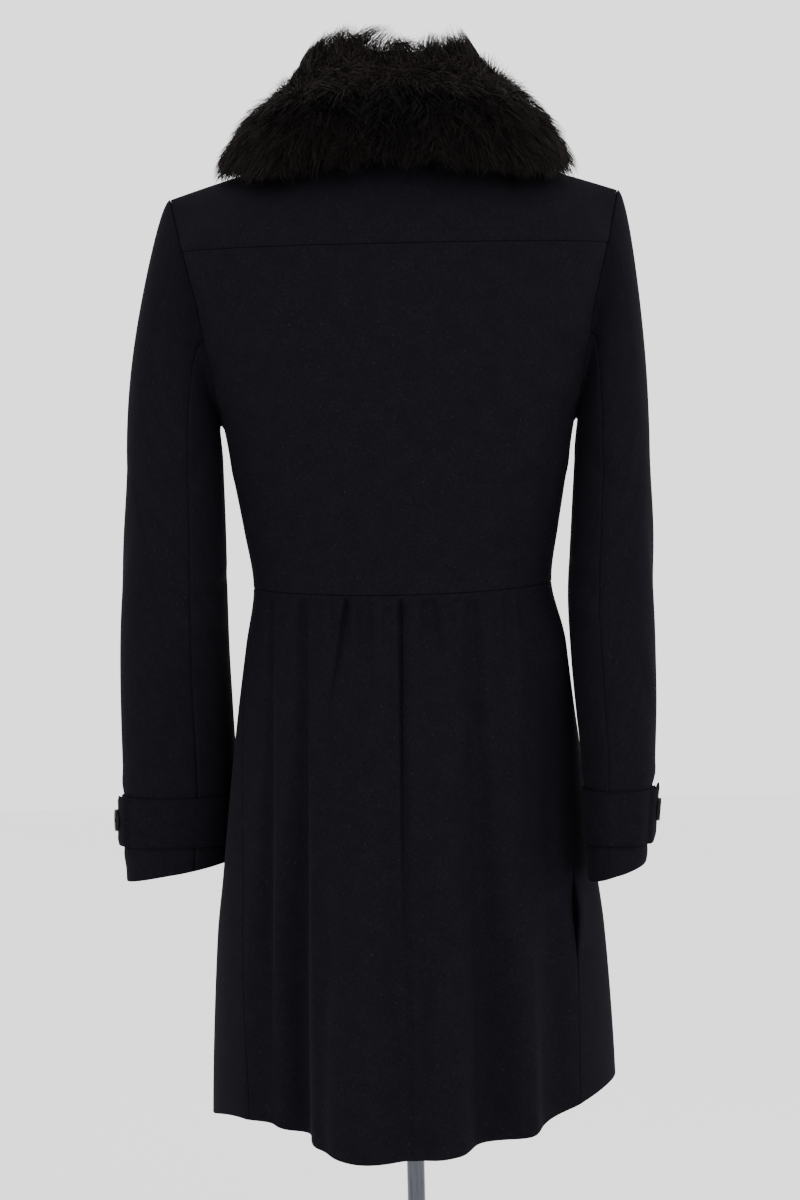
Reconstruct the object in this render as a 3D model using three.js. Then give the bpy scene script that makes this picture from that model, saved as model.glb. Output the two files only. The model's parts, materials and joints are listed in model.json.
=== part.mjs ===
import * as THREE from "three";
import { mergeVertices } from "three/addons/utils/BufferGeometryUtils.js";

// A wool coat with a fur collar, standing on a limbless dress form.
// Millimetres, +Z up. The origin is on the floor at the pole's axis, the coat's front faces -Y,
// and the wearer's left is +X. Angles are degrees round the body from the centre back, so
// 90 is the left side and 180 the centre front.

// Driving dimensions.
const CLOTH = 3;
const SEAM = 0.3;
const LAP_HALF = 28;
const LAP_STEP = 4;
const WAIST_BACK = 1005;
const WAIST_SIDE_RISE = 5;
const UNDERARM = 1152;
const YOKE_SEAM = 1311;
const COLLAR_BREAK = 1215;
const SHOULDER_TIP = { x: 201, y: 0, z: 1361 };
const NECK = { half: 80, back: 61, front: 62, centreY: -5, sideZ: 1396, backRise: 4, frontDrop: 22 };
const NECK_SHARE = 0.4;
const BUTTON = { radius: 14, thick: 4.5, topZ: 1228, pitch: 80, count: 5 };
const SLEEVE = { top: 1120, gap: 0.35, trim: 0.5, backSeam: 104, frontSeam: 246 };
const STRAP = { thick: 2.5, startTurn: 32, overlap: 4, buttonRadius: 10, buttonThick: 3.5 };
const STAND = { height: 54, lean: 7, wall: 2.4, halfAngle: 92 };
const POLE = { radius: 8, foot: 14, top: 795 };
const BASE = { radius: 160, rim: 8, crown: 13, hubRadius: 19, hubTop: 52 };
const FORM = { bottom: 795.3, ridgeGap: 0.6, chestGap: 1.8, neckTop: 1440, neckRound: 46 };

const finishes = {
  wool: { color: 0x15141a, roughness: 0.92, metalness: 0 },
  strap: { color: 0x121116, roughness: 0.9, metalness: 0 },
  fur: { color: 0x0f0c0c, roughness: 0.8, metalness: 0 },
  button: { color: 0x16151a, roughness: 0.25, metalness: 0 },
  form: { color: 0xb8aa92, roughness: 0.85, metalness: 0 },
  wood: { color: 0x5a3a24, roughness: 0.5, metalness: 0 },
  steel: { color: 0x9a9aa0, roughness: 0.3, metalness: 1 },
};

// Outer face of the cloth round the body at each height. backBow and frontBow say how full
// the section is: under 1 is squarer than an ellipse, over 1 is leaner.
const BODY = [
  { z: 500, half: 183, back: 168, front: 170, backBow: 1.2, frontBow: 1.05 },
  { z: 600, half: 180, back: 160, front: 162, backBow: 1.18, frontBow: 1.03 },
  { z: 700, half: 174, back: 149, front: 150, backBow: 1.14, frontBow: 1.0 },
  { z: 750, half: 168, back: 142, front: 142, backBow: 1.12, frontBow: 1.0 },
  { z: 850, half: 157, back: 128, front: 128, backBow: 1.05, frontBow: 0.98 },
  { z: 906, half: 150, back: 118, front: 120, backBow: 1.0, frontBow: 0.96 },
  { z: 960, half: 142, back: 106, front: 112, backBow: 0.95, frontBow: 0.94 },
  { z: 1010, half: 134, back: 92, front: 104, backBow: 0.92, frontBow: 0.92 },
  { z: 1060, half: 141, back: 96, front: 116, backBow: 0.88, frontBow: 0.88 },
  { z: 1110, half: 150, back: 102, front: 130, backBow: 0.84, frontBow: 0.86 },
  { z: 1152, half: 157, back: 107, front: 138, backBow: 0.8, frontBow: 0.84 },
  { z: 1190, half: 167, back: 109, front: 137, backBow: 0.77, frontBow: 0.82 },
  { z: 1230, half: 176, back: 110, front: 131, backBow: 0.75, frontBow: 0.8 },
  { z: 1262, half: 182, back: 109, front: 124, backBow: 0.75, frontBow: 0.8 },
  { z: 1290, half: 189, back: 107, front: 118, backBow: 0.75, frontBow: 0.8 },
  { z: 1311, half: 194, back: 104, front: 114, backBow: 0.75, frontBow: 0.8 },
];

// Where the side seam runs at each height, from the centre back.
const SIDE_SEAM = [
  { z: 500, angle: 56 },
  { z: 600, angle: 57 },
  { z: 750, angle: 62 },
  { z: 900, angle: 74 },
  { z: 1010, angle: 86 },
  { z: 1100, angle: 90 },
  { z: 1152, angle: 90 },
];

// Where the armhole cuts the back and the front at each height, each from its own centre.
const ARMHOLE = [
  { z: 1152, back: 90, front: 90 },
  { z: 1176, back: 80, front: 78 },
  { z: 1200, back: 76, front: 74 },
  { z: 1230, back: 75, front: 72 },
  { z: 1311, back: 75, front: 72 },
];

// Height of the hem round the body.
const HEM = [
  { angle: -180, z: 548 },
  { angle: -120, z: 562 },
  { angle: -90, z: 566 },
  { angle: -60, z: 558 },
  { angle: -40, z: 541 },
  { angle: -20, z: 533 },
  { angle: 0, z: 529 },
  { angle: 20, z: 530 },
  { angle: 40, z: 540 },
  { angle: 60, z: 549 },
  { angle: 90, z: 539 },
  { angle: 120, z: 541 },
  { angle: 180, z: 548 },
];

// Pleats, gathers and folds of the skirt. Places are X at the top and the foot of the fold,
// out is how far it stands from the skirt there (a valley is negative), and width is half its
// breadth along the cloth.
const FOLD_COLUMNS = [
  "face",
  "topX",
  "footX",
  "top",
  "foot",
  "topOut",
  "footOut",
  "topWidth",
  "footWidth",
];
const FOLDS = [
  ["back", 5, 9, 1005, 620, -8, -4, 8, 18],
  ["back", 24, 43, 1005, 531, 3, 22, 14, 46],
  ["back", 51, 74, 1003, 880, -8, -3, 7, 12],
  ["back", 34, 36, 1000, 930, -3.5, 0, 6, 8],
  ["back", 66, 70, 1000, 930, 3, 0, 7, 9],
  ["back", 88, 109, 1000, 540, -6, -25, 9, 28],
  ["back", 118, 134, 985, 540, -4, -13, 8, 22],
  ["back", -22, -26, 1000, 930, -4, 0, 7, 9],
  ["back", -32, -24, 990, 540, 0, 9, 12, 28],
  ["back", -61, -68, 1000, 540, -6, -20, 11, 34],
  ["back", -92, -96, 998, 900, -4, 0, 8, 11],
  ["back", -133, -150, 1003, 830, 8, 0, 44, 40],
  ["back", -124, -126, 960, 540, 0, -9, 12, 32],
  ["front", 48, 62, 1000, 540, -4, -16, 9, 26],
  ["front", 78, 104, 995, 545, 3, 14, 11, 30],
  ["front", 104, 140, 998, 545, -5, -24, 9, 26],
  ["front", -52, -70, 1000, 545, -4, -20, 9, 28],
  ["front", -84, -112, 996, 550, 3, 12, 11, 28],
  ["front", -110, -146, 990, 550, -4, -22, 9, 26],
].map((row) => Object.fromEntries(row.map((value, i) => [FOLD_COLUMNS[i], value])));

// Outer face of each hanging sleeve: edge nearest the body, far edge, depth front to back and
// the middle of that depth.
const ARMS = {
  left: {
    sign: 1,
    strapLow: 775,
    strapHigh: 820,
    tabLift: 0.6,
    tabRise: 0,
    rings: [
      { z: 1120, near: 159, far: 246, deep: 118, middle: -2 },
      { z: 1060, near: 158, far: 250, deep: 118, middle: -5 },
      { z: 1000, near: 158, far: 254, deep: 112, middle: -12 },
      { z: 950, near: 158, far: 257, deep: 108, middle: -23 },
      { z: 900, near: 157, far: 259, deep: 102, middle: -38 },
      { z: 850, near: 156, far: 260, deep: 96, middle: -52 },
      { z: 820, near: 157, far: 260, deep: 92, middle: -58 },
      { z: 775, near: 161, far: 261, deep: 88, middle: -62 },
      { z: 740, near: 165, far: 260, deep: 85, middle: -64 },
    ],
    hem: { far: 741, near: 759 },
  },
  right: {
    sign: -1,
    strapLow: 785,
    strapHigh: 831,
    tabLift: 4,
    tabRise: 20,
    rings: [
      { z: 1120, near: 157, far: 225, deep: 122, middle: 2 },
      { z: 1060, near: 152, far: 226, deep: 120, middle: 8 },
      { z: 1000, near: 147, far: 225, deep: 114, middle: 18 },
      { z: 950, near: 148, far: 224, deep: 110, middle: 30 },
      { z: 900, near: 151, far: 222, deep: 104, middle: 44 },
      { z: 850, near: 155, far: 218, deep: 98, middle: 58 },
      { z: 820, near: 156, far: 213, deep: 92, middle: 68 },
      { z: 775, near: 156, far: 208, deep: 88, middle: 75 },
      { z: 740, near: 156, far: 202, deep: 86, middle: 78 },
    ],
    hem: { far: 768, near: 752 },
  },
};

// Section of the fur collar. along runs from the neck seam to the collar's lower edge, and
// height is a share of the collar's height there.
const FUR_SECTION = [
  { along: 0.01, height: 0.03 },
  { along: -0.06, height: 0.56 },
  { along: -0.2, height: 0.76 },
  { along: -0.22, height: 0.93 },
  { along: -0.12, height: 1.0 },
  { along: 0.08, height: 0.8 },
  { along: 0.4, height: 0.62 },
  { along: 0.76, height: 0.39 },
  { along: 0.96, height: 0.15 },
  { along: 1.0, height: 0.01 },
];

// The fur collar's lower edge and height from the centre back round to the shoulder.
const FUR_BACK = [
  { angle: 0, reach: 110, edgeZ: 1377, height: 92 },
  { angle: 30, reach: 120, edgeZ: 1370, height: 95 },
  { angle: 60, reach: 142, edgeZ: 1367, height: 96 },
  { angle: 90, reach: 155, edgeZ: 1378, height: 92 },
];

// The same down the front edge: share is the way up from the collar's break to the shoulder.
const FUR_FRONT = [
  { share: 1, breadth: 0.37, height: 94 },
  { share: 0.85, breadth: 0.33, height: 76 },
  { share: 0.7, breadth: 0.28, height: 56 },
  { share: 0.5, breadth: 0.22, height: 40 },
  { share: 0.32, breadth: 0.16, height: 24 },
];

const radians = (degrees) => (degrees * Math.PI) / 180;
const degreesOf = (value) => (value * 180) / Math.PI;
const mix = (a, b, t) => a + (b - a) * t;
const clamp01 = (t) => Math.min(1, Math.max(0, t));
const ease = (t) => clamp01(t) * clamp01(t) * (3 - 2 * clamp01(t));
const point = (x, y, z) => new THREE.Vector3(x, y, z);

// Smooth value of one column of a table, between rows sorted by the key column.
function readTable(table, key, at, column) {
  const last = table.length - 1;
  const rising = table[last][key] > table[0][key];
  const before = (row) => (rising ? table[row][key] <= at : table[row][key] >= at);
  let i = 0;
  while (i < last - 1 && before(i + 1)) {
    i += 1;
  }
  const gap = table[i + 1][key] - table[i][key];
  const t = clamp01((at - table[i][key]) / gap);
  const slope = (row) => {
    const low = Math.max(0, row - 1);
    const high = Math.min(last, row + 1);
    return (table[high][column] - table[low][column]) / (table[high][key] - table[low][key]);
  };
  const t2 = t * t;
  const t3 = t2 * t;
  return (
    (2 * t3 - 3 * t2 + 1) * table[i][column] +
    (t3 - 2 * t2 + t) * gap * slope(i) +
    (3 * t2 - 2 * t3) * table[i + 1][column] +
    (t3 - t2) * gap * slope(i + 1)
  );
}

const bow = (value, power) => Math.sign(value) * Math.abs(value) ** power;

// A point of the smooth body, before folds. inset moves the whole section inwards.
function bodyPoint(angle, z, inset = 0) {
  const isBack = Math.cos(radians(angle)) >= 0;
  const face = isBack ? "back" : "front";
  const power = readTable(BODY, "z", z, `${face}Bow`);
  const half = readTable(BODY, "z", z, "half") - inset;
  const depth = readTable(BODY, "z", z, face) - inset;
  return point(
    half * bow(Math.sin(radians(angle)), power),
    depth * bow(Math.cos(radians(angle)), power),
    z
  );
}

// The angle where the body's section reaches a given X, on its back or its front.
function angleAtX(face, x, z) {
  const power = readTable(BODY, "z", z, `${face}Bow`);
  const half = readTable(BODY, "z", z, "half");
  const share = Math.min(0.999, Math.abs(x) / half) ** (1 / power);
  const angle = degreesOf(Math.asin(share)) * Math.sign(x || 1);
  return face === "back" ? angle : 180 - angle;
}

const wrapAngle = (angle) => ((((angle + 180) % 360) + 360) % 360) - 180;
const waistZ = (angle) => WAIST_BACK + WAIST_SIDE_RISE * Math.sin(radians(angle)) ** 2;
const hemZ = (angle) => readTable(HEM, "angle", wrapAngle(angle), "z");

// How far the skirt's folds stand out at one place. They fade in just below the waist seam.
function foldOut(angle, z) {
  const girth = Math.sqrt(readTable(BODY, "z", z, "half") * readTable(BODY, "z", z, "back"));
  let out = 0;
  for (const fold of FOLDS) {
    const down = ease((fold.top - z) / (fold.top - fold.foot));
    const place = angleAtX(fold.face, mix(fold.topX, fold.footX, down), z);
    const width = mix(fold.topWidth, fold.footWidth, down);
    const away = radians(wrapAngle(angle - place)) * girth;
    if (Math.abs(away) < width) {
      out += mix(fold.topOut, fold.footOut, down) * Math.cos((Math.PI * away) / (2 * width)) ** 2;
    }
  }
  return out * ease((waistZ(angle) - z) / 18);
}

// A point of the skirt: the body's section with its folds.
function skirtPoint(angle, z) {
  const base = bodyPoint(angle, z);
  const near = bodyPoint(angle + 0.5, z).sub(bodyPoint(angle - 0.5, z));
  const outward = point(near.y, -near.x, 0).normalize();
  if (outward.dot(point(base.x, base.y, 0)) < 0) {
    outward.negate();
  }
  return base.addScaledVector(outward, foldOut(angle, z));
}

// The upper edge of the body at the shoulder seam and round the neck, for a share across.
function topPoint(face, share) {
  const across = Math.abs(share);
  const side = Math.sign(share) || 1;
  if (across > NECK_SHARE) {
    const out = (across - NECK_SHARE) / (1 - NECK_SHARE);
    const hollow = 1.6 * Math.sin(Math.PI * out);
    return point(
      side * mix(NECK.half, SHOULDER_TIP.x, out),
      mix(NECK.centreY, SHOULDER_TIP.y, out),
      mix(NECK.sideZ, SHOULDER_TIP.z, out) + hollow
    );
  }
  const turn = radians((90 * share) / NECK_SHARE);
  const depth = face === "back" ? NECK.back : -NECK.front;
  const rise = face === "back" ? NECK.backRise : -NECK.frontDrop;
  return point(
    NECK.half * Math.sin(turn),
    NECK.centreY + depth * Math.cos(turn),
    NECK.sideZ + rise * Math.cos(turn)
  );
}

const upperFoot = (face) => (face === "back" ? YOKE_SEAM : COLLAR_BREAK);

// How far round a face reaches from its own centre, to the side seam or the armhole.
function sideAngle(face, z) {
  if (z > UNDERARM) {
    return readTable(ARMHOLE, "z", z, face);
  }
  const seam = readTable(SIDE_SEAM, "z", z, "angle");
  return face === "back" ? seam : 180 - seam;
}

// Turns a share across a face into an angle: -1 is the right armhole and 1 the left.
function faceAngle(face, share, z) {
  const limit = sideAngle(face, z);
  return face === "back" ? share * limit : 180 - share * limit;
}

// A point of the shoulders: share across and share up from the yoke seam or collar break.
function upperPoint(face, across, up) {
  const foot = upperFoot(face);
  const start = bodyPoint(faceAngle(face, across, foot), foot);
  const below = bodyPoint(faceAngle(face, across, foot - 6), foot - 6);
  const end = topPoint(face, across);
  const rise = end.z - start.z;
  const firstHandle = start.clone().sub(below).multiplyScalar((0.34 * rise) / 6).add(start);
  const lastHandle = point(
    end.x + 0.08 * (start.x - end.x),
    end.y + 0.48 * (start.y - end.y),
    end.z - 0.1 * rise
  );
  const curve = new THREE.CubicBezierCurve3(start, firstHandle, lastHandle, end);
  const t = clamp01(up);
  const at = curve.getPoint(t);
  return at.addScaledVector(curve.getTangent(t), up - t);
}

// Outward normal of a surface by small steps in both directions. The steps go to the normal
// that points away from the given inside point.
function surfaceNormal(surface, u, v, inside) {
  const step = 0.002;
  const du = surface(u + step, v).sub(surface(u - step, v));
  const dv = surface(u, v + step).sub(surface(u, v - step));
  const normal = du.cross(dv).normalize();
  return normal.dot(surface(u, v).sub(inside)) < 0 ? normal.negate() : normal;
}

// Geometry from triangles given as points. Points that meet are shared.
function geometryFrom(triangles) {
  const positions = [];
  for (const corners of triangles) {
    for (const corner of corners) {
      positions.push(corner.x, corner.y, corner.z);
    }
  }
  let geometry = new THREE.BufferGeometry();
  geometry.setAttribute("position", new THREE.Float32BufferAttribute(positions, 3));
  geometry = mergeVertices(geometry, 1e-3);
  const index = Array.from(geometry.index.array);
  const kept = [];
  for (let i = 0; i < index.length; i += 3) {
    const [a, b, c] = index.slice(i, i + 3);
    if (a !== b && b !== c && c !== a) {
      kept.push(a, b, c);
    }
  }
  geometry.setIndex(kept);
  return facingOut(geometry);
}

// Turns a closed geometry so that its faces point out.
function facingOut(geometry) {
  const places = geometry.attributes.position;
  const index = Array.from(geometry.index.array);
  const corner = (i) => new THREE.Vector3().fromBufferAttribute(places, i);
  let volume = 0;
  for (let i = 0; i < index.length; i += 3) {
    volume += corner(index[i]).dot(corner(index[i + 1]).cross(corner(index[i + 2])));
  }
  if (volume < 0) {
    for (let i = 0; i < index.length; i += 3) {
      [index[i + 1], index[i + 2]] = [index[i + 2], index[i + 1]];
    }
    geometry.setIndex(index);
  }
  geometry.computeVertexNormals();
  return geometry;
}

const quad = (a, b, c, d) => [
  [a, b, c],
  [a, c, d],
];

// Triangles of a grid of points, rows by columns.
function gridTriangles(rows) {
  const triangles = [];
  for (let i = 0; i < rows.length - 1; i += 1) {
    for (let j = 0; j < rows[i].length - 1; j += 1) {
      triangles.push(...quad(rows[i][j], rows[i][j + 1], rows[i + 1][j + 1], rows[i + 1][j]));
    }
  }
  return triangles;
}

// A wall between two grids of points of the same size, closed all round its edge.
function wallBetween(outer, inner) {
  const last = outer.length - 1;
  const end = outer[0].length - 1;
  const column = (grid, j) => grid.map((row) => row[j]);
  return geometryFrom([
    ...gridTriangles(outer),
    ...gridTriangles(inner).map(([a, b, c]) => [a, c, b]),
    ...gridTriangles([inner[0], outer[0]]),
    ...gridTriangles([outer[last], inner[last]]),
    ...gridTriangles([column(outer, 0), column(inner, 0)]),
    ...gridTriangles([column(inner, end), column(outer, end)]),
  ]);
}

// A solid lofted through closed rings, with flat ends.
function loftRings(rings) {
  const closed = rings.map((ring) => [...ring, ring[0]]);
  const triangles = gridTriangles(closed);
  const first = middleOf(rings[0]);
  const last = middleOf(rings[rings.length - 1]);
  for (let j = 0; j < rings[0].length; j += 1) {
    triangles.push([first, closed[0][j + 1], closed[0][j]]);
    triangles.push([last, closed[rings.length - 1][j], closed[rings.length - 1][j + 1]]);
  }
  return geometryFrom(triangles);
}

function middleOf(ring) {
  const middle = point(0, 0, 0);
  ring.forEach((corner) => middle.add(corner));
  return middle.divideScalar(ring.length);
}

const coat = new THREE.Group();

function addPiece(name, geometry, finish) {
  const mesh = new THREE.Mesh(geometry, new THREE.MeshStandardMaterial(finishes[finish]));
  mesh.name = name;
  coat.add(mesh);
  return mesh;
}

function steps(from, to, count) {
  return Array.from({ length: count + 1 }, (_, i) => mix(from, to, i / count));
}

// One cloth panel. The surface gives outer points; level drops the normal's upright part on
// rows that meet a level seam, and mitre drops its front-to-back part on the shoulder seam.
function panel(surface, us, vs, options = {}) {
  const inside = options.inside ?? ((at) => point(0, 0, at.z));
  const outer = [];
  const inner = [];
  vs.forEach((v, i) => {
    const outerRow = [];
    const innerRow = [];
    us.forEach((u) => {
      const at = surface(u, v);
      const normal = surfaceNormal(surface, u, v, inside(at));
      if (options.level?.(i)) {
        normal.setZ(0).normalize();
      }
      if (options.mitre?.(u, i)) {
        normal.setY(0).normalize();
      }
      outerRow.push(at);
      innerRow.push(at.clone().addScaledVector(normal, -CLOTH));
    });
    outer.push(outerRow);
    inner.push(innerRow);
  });
  return { outer, inner };
}

// Narrows a panel by half a seam gap at its side edges, along the edge rows of its cloth.
function trimSides(grid, first, last, trim = SEAM / 2) {
  const moved = (from, to) => from.clone().addScaledVector(to.clone().sub(from).normalize(), trim);
  for (const rows of [grid.outer, grid.inner]) {
    for (const row of rows) {
      const end = row.length - 1;
      if (first) {
        row[0] = moved(row[0], row[1]);
      }
      if (last) {
        row[end] = moved(row[end], row[end - 1]);
      }
    }
  }
  return grid;
}

const finish = (grid) => wallBetween(grid.outer, grid.inner);

const BODICE_SHARES = steps(-1, 1, 20);
const onShoulder = (share) => Math.abs(share) > NECK_SHARE - 0.01;
const BODICE_LEVELS = [1030, 1060, 1090, 1120, UNDERARM, 1176, 1200, 1230, 1262, 1290];
const YOKE_RISES = [0.2, 0.4, 0.6, 0.8, 1];

// A point of the bodice, no lower than the waist seam.
function bodicePoint(face, share, level) {
  const z = Math.max(level, waistZ(faceAngle(face, share, level)) + SEAM / 2);
  return bodyPoint(faceAngle(face, share, z), z);
}

// The back bodice, from the waist seam to the yoke seam.
function makeBackBodice() {
  const rows = [WAIST_BACK, ...BODICE_LEVELS, YOKE_SEAM - SEAM / 2];
  const surface = (share, level) => bodicePoint("back", share, level);
  const isLevel = (i) => i === 0 || i === rows.length - 1;
  return trimSides(panel(surface, BODICE_SHARES, rows, { level: isLevel }), true, true);
}

// The back yoke, from the yoke seam over the shoulders to the shoulder seams and the neck.
function makeBackYoke() {
  const surface = (share, up) => upperPoint("back", share, up);
  const first = SEAM / 2 / 100;
  const rows = [first, ...YOKE_RISES];
  const grid = panel(surface, BODICE_SHARES, rows, {
    level: (i) => i === 0,
    mitre: (share, i) => i === rows.length - 1 && onShoulder(share),
    inside: (at) => point(0, 0, at.z - 60),
  });
  const top = rows.length - 1;
  for (const face of [grid.outer, grid.inner]) {
    face[top].forEach((at, j) => {
      if (onShoulder(BODICE_SHARES[j])) {
        at.y += SEAM / 2;
      }
    });
  }
  return grid;
}

// How far the right front stands out over the left one near the centre front.
const lapOut = (side, x) => (side < 0 ? LAP_STEP * ease((x + 62) / 18) : 0);

function lapPoint(side, at, normal) {
  return at.addScaledVector(normal, lapOut(side, at.x));
}

const FRONT_SHARES = steps(0, 1, 12);
const FRONT_RISES = [0.14, 0.28, 0.42, 0.56, 0.7, 0.84, 1];

// Share across the front where its free edge lies, as a share of the way to the armhole.
function frontEdgeShare(side, z, up) {
  const angle = angleAtX("front", -side * LAP_HALF, z);
  const low = (180 - angle) / sideAngle("front", z);
  return mix(low, side * NECK_SHARE, up) * side;
}

// One front bodice, from the waist seam to the shoulder seam. Its free edge runs straight up
// to the collar's break and then slants to the neck.
function makeFrontBodice(side) {
  const levels = [WAIST_BACK, ...BODICE_LEVELS.filter((z) => z < COLLAR_BREAK), COLLAR_BREAK];
  const surface = (share, v) => {
    const up = Math.max(0, v - COLLAR_BREAK) / 100;
    const z = Math.min(v, COLLAR_BREAK);
    const across = side * mix(1, frontEdgeShare(side, z, up), share);
    return v > COLLAR_BREAK ? upperPoint("front", across, up) : bodicePoint("front", across, z);
  };
  const raised = (share, v) => {
    const normal = surfaceNormal(surface, share, v, point(0, 0, 1180));
    return lapPoint(side, surface(share, v), normal);
  };
  const rows = [...levels, ...FRONT_RISES.map((up) => COLLAR_BREAK + up * 100)];
  const grid = panel(raised, FRONT_SHARES, rows, {
    level: (i) => i === 0,
    mitre: (share, i) => i === rows.length - 1,
    inside: (at) => point(0, 0, Math.min(at.z - 60, 1200)),
  });
  const top = rows.length - 1;
  for (const face of [grid.outer, grid.inner]) {
    face[top].forEach((at) => {
      at.y -= SEAM / 2;
    });
  }
  return trimSides(grid, true, false);
}

const SKIRT_DROPS = [0, 0.035, 0.08, 0.14, 0.21, 0.3, 0.4, 0.52, 0.64, 0.76, 0.88, 1];

function skirtPanel(angleAt, columns, raise) {
  const surface = (share, down) => {
    let z = WAIST_BACK;
    let angle = angleAt(share, z);
    for (let pass = 0; pass < 3; pass += 1) {
      z = mix(waistZ(angle) - SEAM / 2, hemZ(angle), down);
      angle = angleAt(share, z);
    }
    return raise(skirtPoint(angle, z), angle);
  };
  return panel(surface, steps(0, 1, columns), SKIRT_DROPS, { level: (i) => i === 0 });
}

// The back skirt, between the two side seams.
function makeBackSkirt() {
  const angleAt = (share, z) => mix(-1, 1, share) * sideAngle("back", z);
  return trimSides(skirtPanel(angleAt, 44, (at) => at), true, true);
}

// One front skirt, from its side seam round to its free edge past the centre front.
function makeFrontSkirt(side) {
  const angleAt = (share, z) => {
    const seam = side * sideAngle("back", z);
    const edge = side > 0 ? angleAtX("front", -LAP_HALF, z) : angleAtX("front", LAP_HALF, z) - 360;
    return mix(seam, edge, share);
  };
  const raise = (at) => {
    const outward = point(at.x, at.y, 0).normalize();
    return at.y < 0 ? at.addScaledVector(outward, lapOut(side, at.x)) : at;
  };
  return trimSides(skirtPanel(angleAt, 20, raise), true, false);
}

// The armhole of one side as the sleeve meets it: the edge of the yoke, back bodice and front
// bodice in order from the shoulder tip down the back, under the arm and up the front.
function armholeLoop(side, pieces) {
  const backEnd = side > 0 ? BODICE_SHARES.length - 1 : 0;
  const loop = [];
  const take = (grid, row, column) => {
    loop.push({ outer: grid.outer[row][column], inner: grid.inner[row][column] });
  };
  const yokeTop = pieces.yoke.outer.length - 1;
  for (let i = yokeTop; i >= 1; i -= 1) {
    take(pieces.yoke, i, backEnd);
  }
  const underarmRow = 1 + BODICE_LEVELS.indexOf(UNDERARM);
  for (let i = pieces.bodice.outer.length - 1; i >= underarmRow; i -= 1) {
    take(pieces.bodice, i, backEnd);
  }
  for (let i = underarmRow + 1; i < pieces.front.outer.length - 1; i += 1) {
    take(pieces.front, i, 0);
  }
  return loop;
}

// The outward side of an arm's section: turn 0 is the far side, 90 the back.
function armPoint(arm, turn, z) {
  const near = readTable(arm.rings, "z", z, "near");
  const far = readTable(arm.rings, "z", z, "far");
  const deep = readTable(arm.rings, "z", z, "deep");
  const middle = readTable(arm.rings, "z", z, "middle");
  return point(
    arm.sign * ((near + far) / 2 + ((far - near) / 2) * bow(Math.cos(radians(turn)), 0.92)),
    middle + (deep / 2) * bow(Math.sin(radians(turn)), 0.92),
    z
  );
}

const CAP_RISES = [0.14, 0.3, 0.5, 0.75, 1];
const ARM_LEVELS = [1060, 1000, 950, 900, 850];

// Points of a whole sleeve: rows from the armhole to the hem, columns round it.
function sleeveGrid(arm, loop) {
  const count = loop.length;
  const bottom = loop.reduce((best, at, k) => (at.outer.z < loop[best].outer.z ? k : best), 0);
  const reach = [0];
  for (let k = 1; k <= count; k += 1) {
    reach.push(reach[k - 1] + loop[k % count].outer.distanceTo(loop[k - 1].outer));
  }
  const turnOf = (k) => {
    if (k <= bottom) {
      return (180 * reach[k]) / reach[bottom];
    }
    return 180 + (180 * (reach[k] - reach[bottom])) / (reach[count] - reach[bottom]);
  };
  const outer = [];
  const inner = [];
  const seats = loop.map((at, k) => {
    const next = loop[(k + 1) % count].outer;
    const along = next.clone().sub(loop[(k + count - 1) % count].outer).normalize();
    const through = at.outer.clone().sub(at.inner).normalize();
    const away = along.cross(through).normalize();
    const centre = point(arm.sign * 185, 0, 1255);
    if (away.dot(centre.sub(at.outer)) < 0) {
      away.negate();
    }
    return { at: at.outer, away, turn: turnOf(k), inner: at.inner };
  });
  outer.push(seats.map((seat) => seat.at.clone().addScaledVector(seat.away, SLEEVE.gap)));
  inner.push(seats.map((seat) => seat.inner.clone().addScaledVector(seat.away, SLEEVE.gap)));
  const capPoint = (k, rise) => {
    const seat = seats[(k + count) % count];
    const low = (1 - Math.cos(radians(seat.turn))) / 2;
    const end = armPoint(arm, seat.turn, SLEEVE.top);
    const start = seat.at.clone().addScaledVector(seat.away, SLEEVE.gap);
    const leaving = start
      .clone()
      .addScaledVector(seat.away, mix(3, 14, low ** 6))
      .add(point(arm.sign * mix(8, 4, low ** 4), 0, 0));
    const lift = mix(0.44, 0.62, low) * (start.z - end.z);
    const arriving = end.clone().add(point(0, 0, lift));
    return new THREE.CubicBezierCurve3(start, leaving, arriving, end).getPoint(rise);
  };
  const wholeSleeve = (rowPoint) => {
    const row = seats.map((seat, k) => rowPoint(k));
    outer.push(row);
  };
  CAP_RISES.forEach((rise) => wholeSleeve((k) => capPoint(k, rise)));
  const lower = [...ARM_LEVELS, arm.strapHigh, (arm.strapHigh + arm.strapLow) / 2, arm.strapLow];
  lower.forEach((z) => wholeSleeve((k) => armPoint(arm, seats[k].turn, z)));
  wholeSleeve((k) => {
    const out = (1 + Math.cos(radians(seats[k].turn))) / 2;
    return armPoint(arm, seats[k].turn, mix(arm.hem.near, arm.hem.far, out));
  });
  for (let i = 1; i < outer.length; i += 1) {
    const above = outer[i - 1];
    const below = outer[Math.min(i + 1, outer.length - 1)];
    inner.push(
      outer[i].map((at, k) => {
        const round = outer[i][(k + 1) % count].clone().sub(outer[i][(k + count - 1) % count]);
        const down = below[k].clone().sub(above[k]);
        const normal = round.cross(down).normalize();
        const axis = middleOf(outer[i]);
        if (normal.dot(at.clone().sub(axis)) < 0) {
          normal.negate();
        }
        return at.clone().addScaledVector(normal, -CLOTH);
      })
    );
  }
  return { outer, inner, turns: seats.map((seat) => seat.turn) };
}

// A stretch of the sleeve's columns as a piece of its own.
function sleevePart(grid, from, to) {
  const count = grid.turns.length;
  const columns = steps(from, to, to - from).map((k) => (Math.round(k) + count) % count);
  const cut = (rows) => rows.map((row) => columns.map((k) => row[k]));
  return finish(trimSides({ outer: cut(grid.outer), inner: cut(grid.inner) }, true, true, SLEEVE.trim));
}

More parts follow.
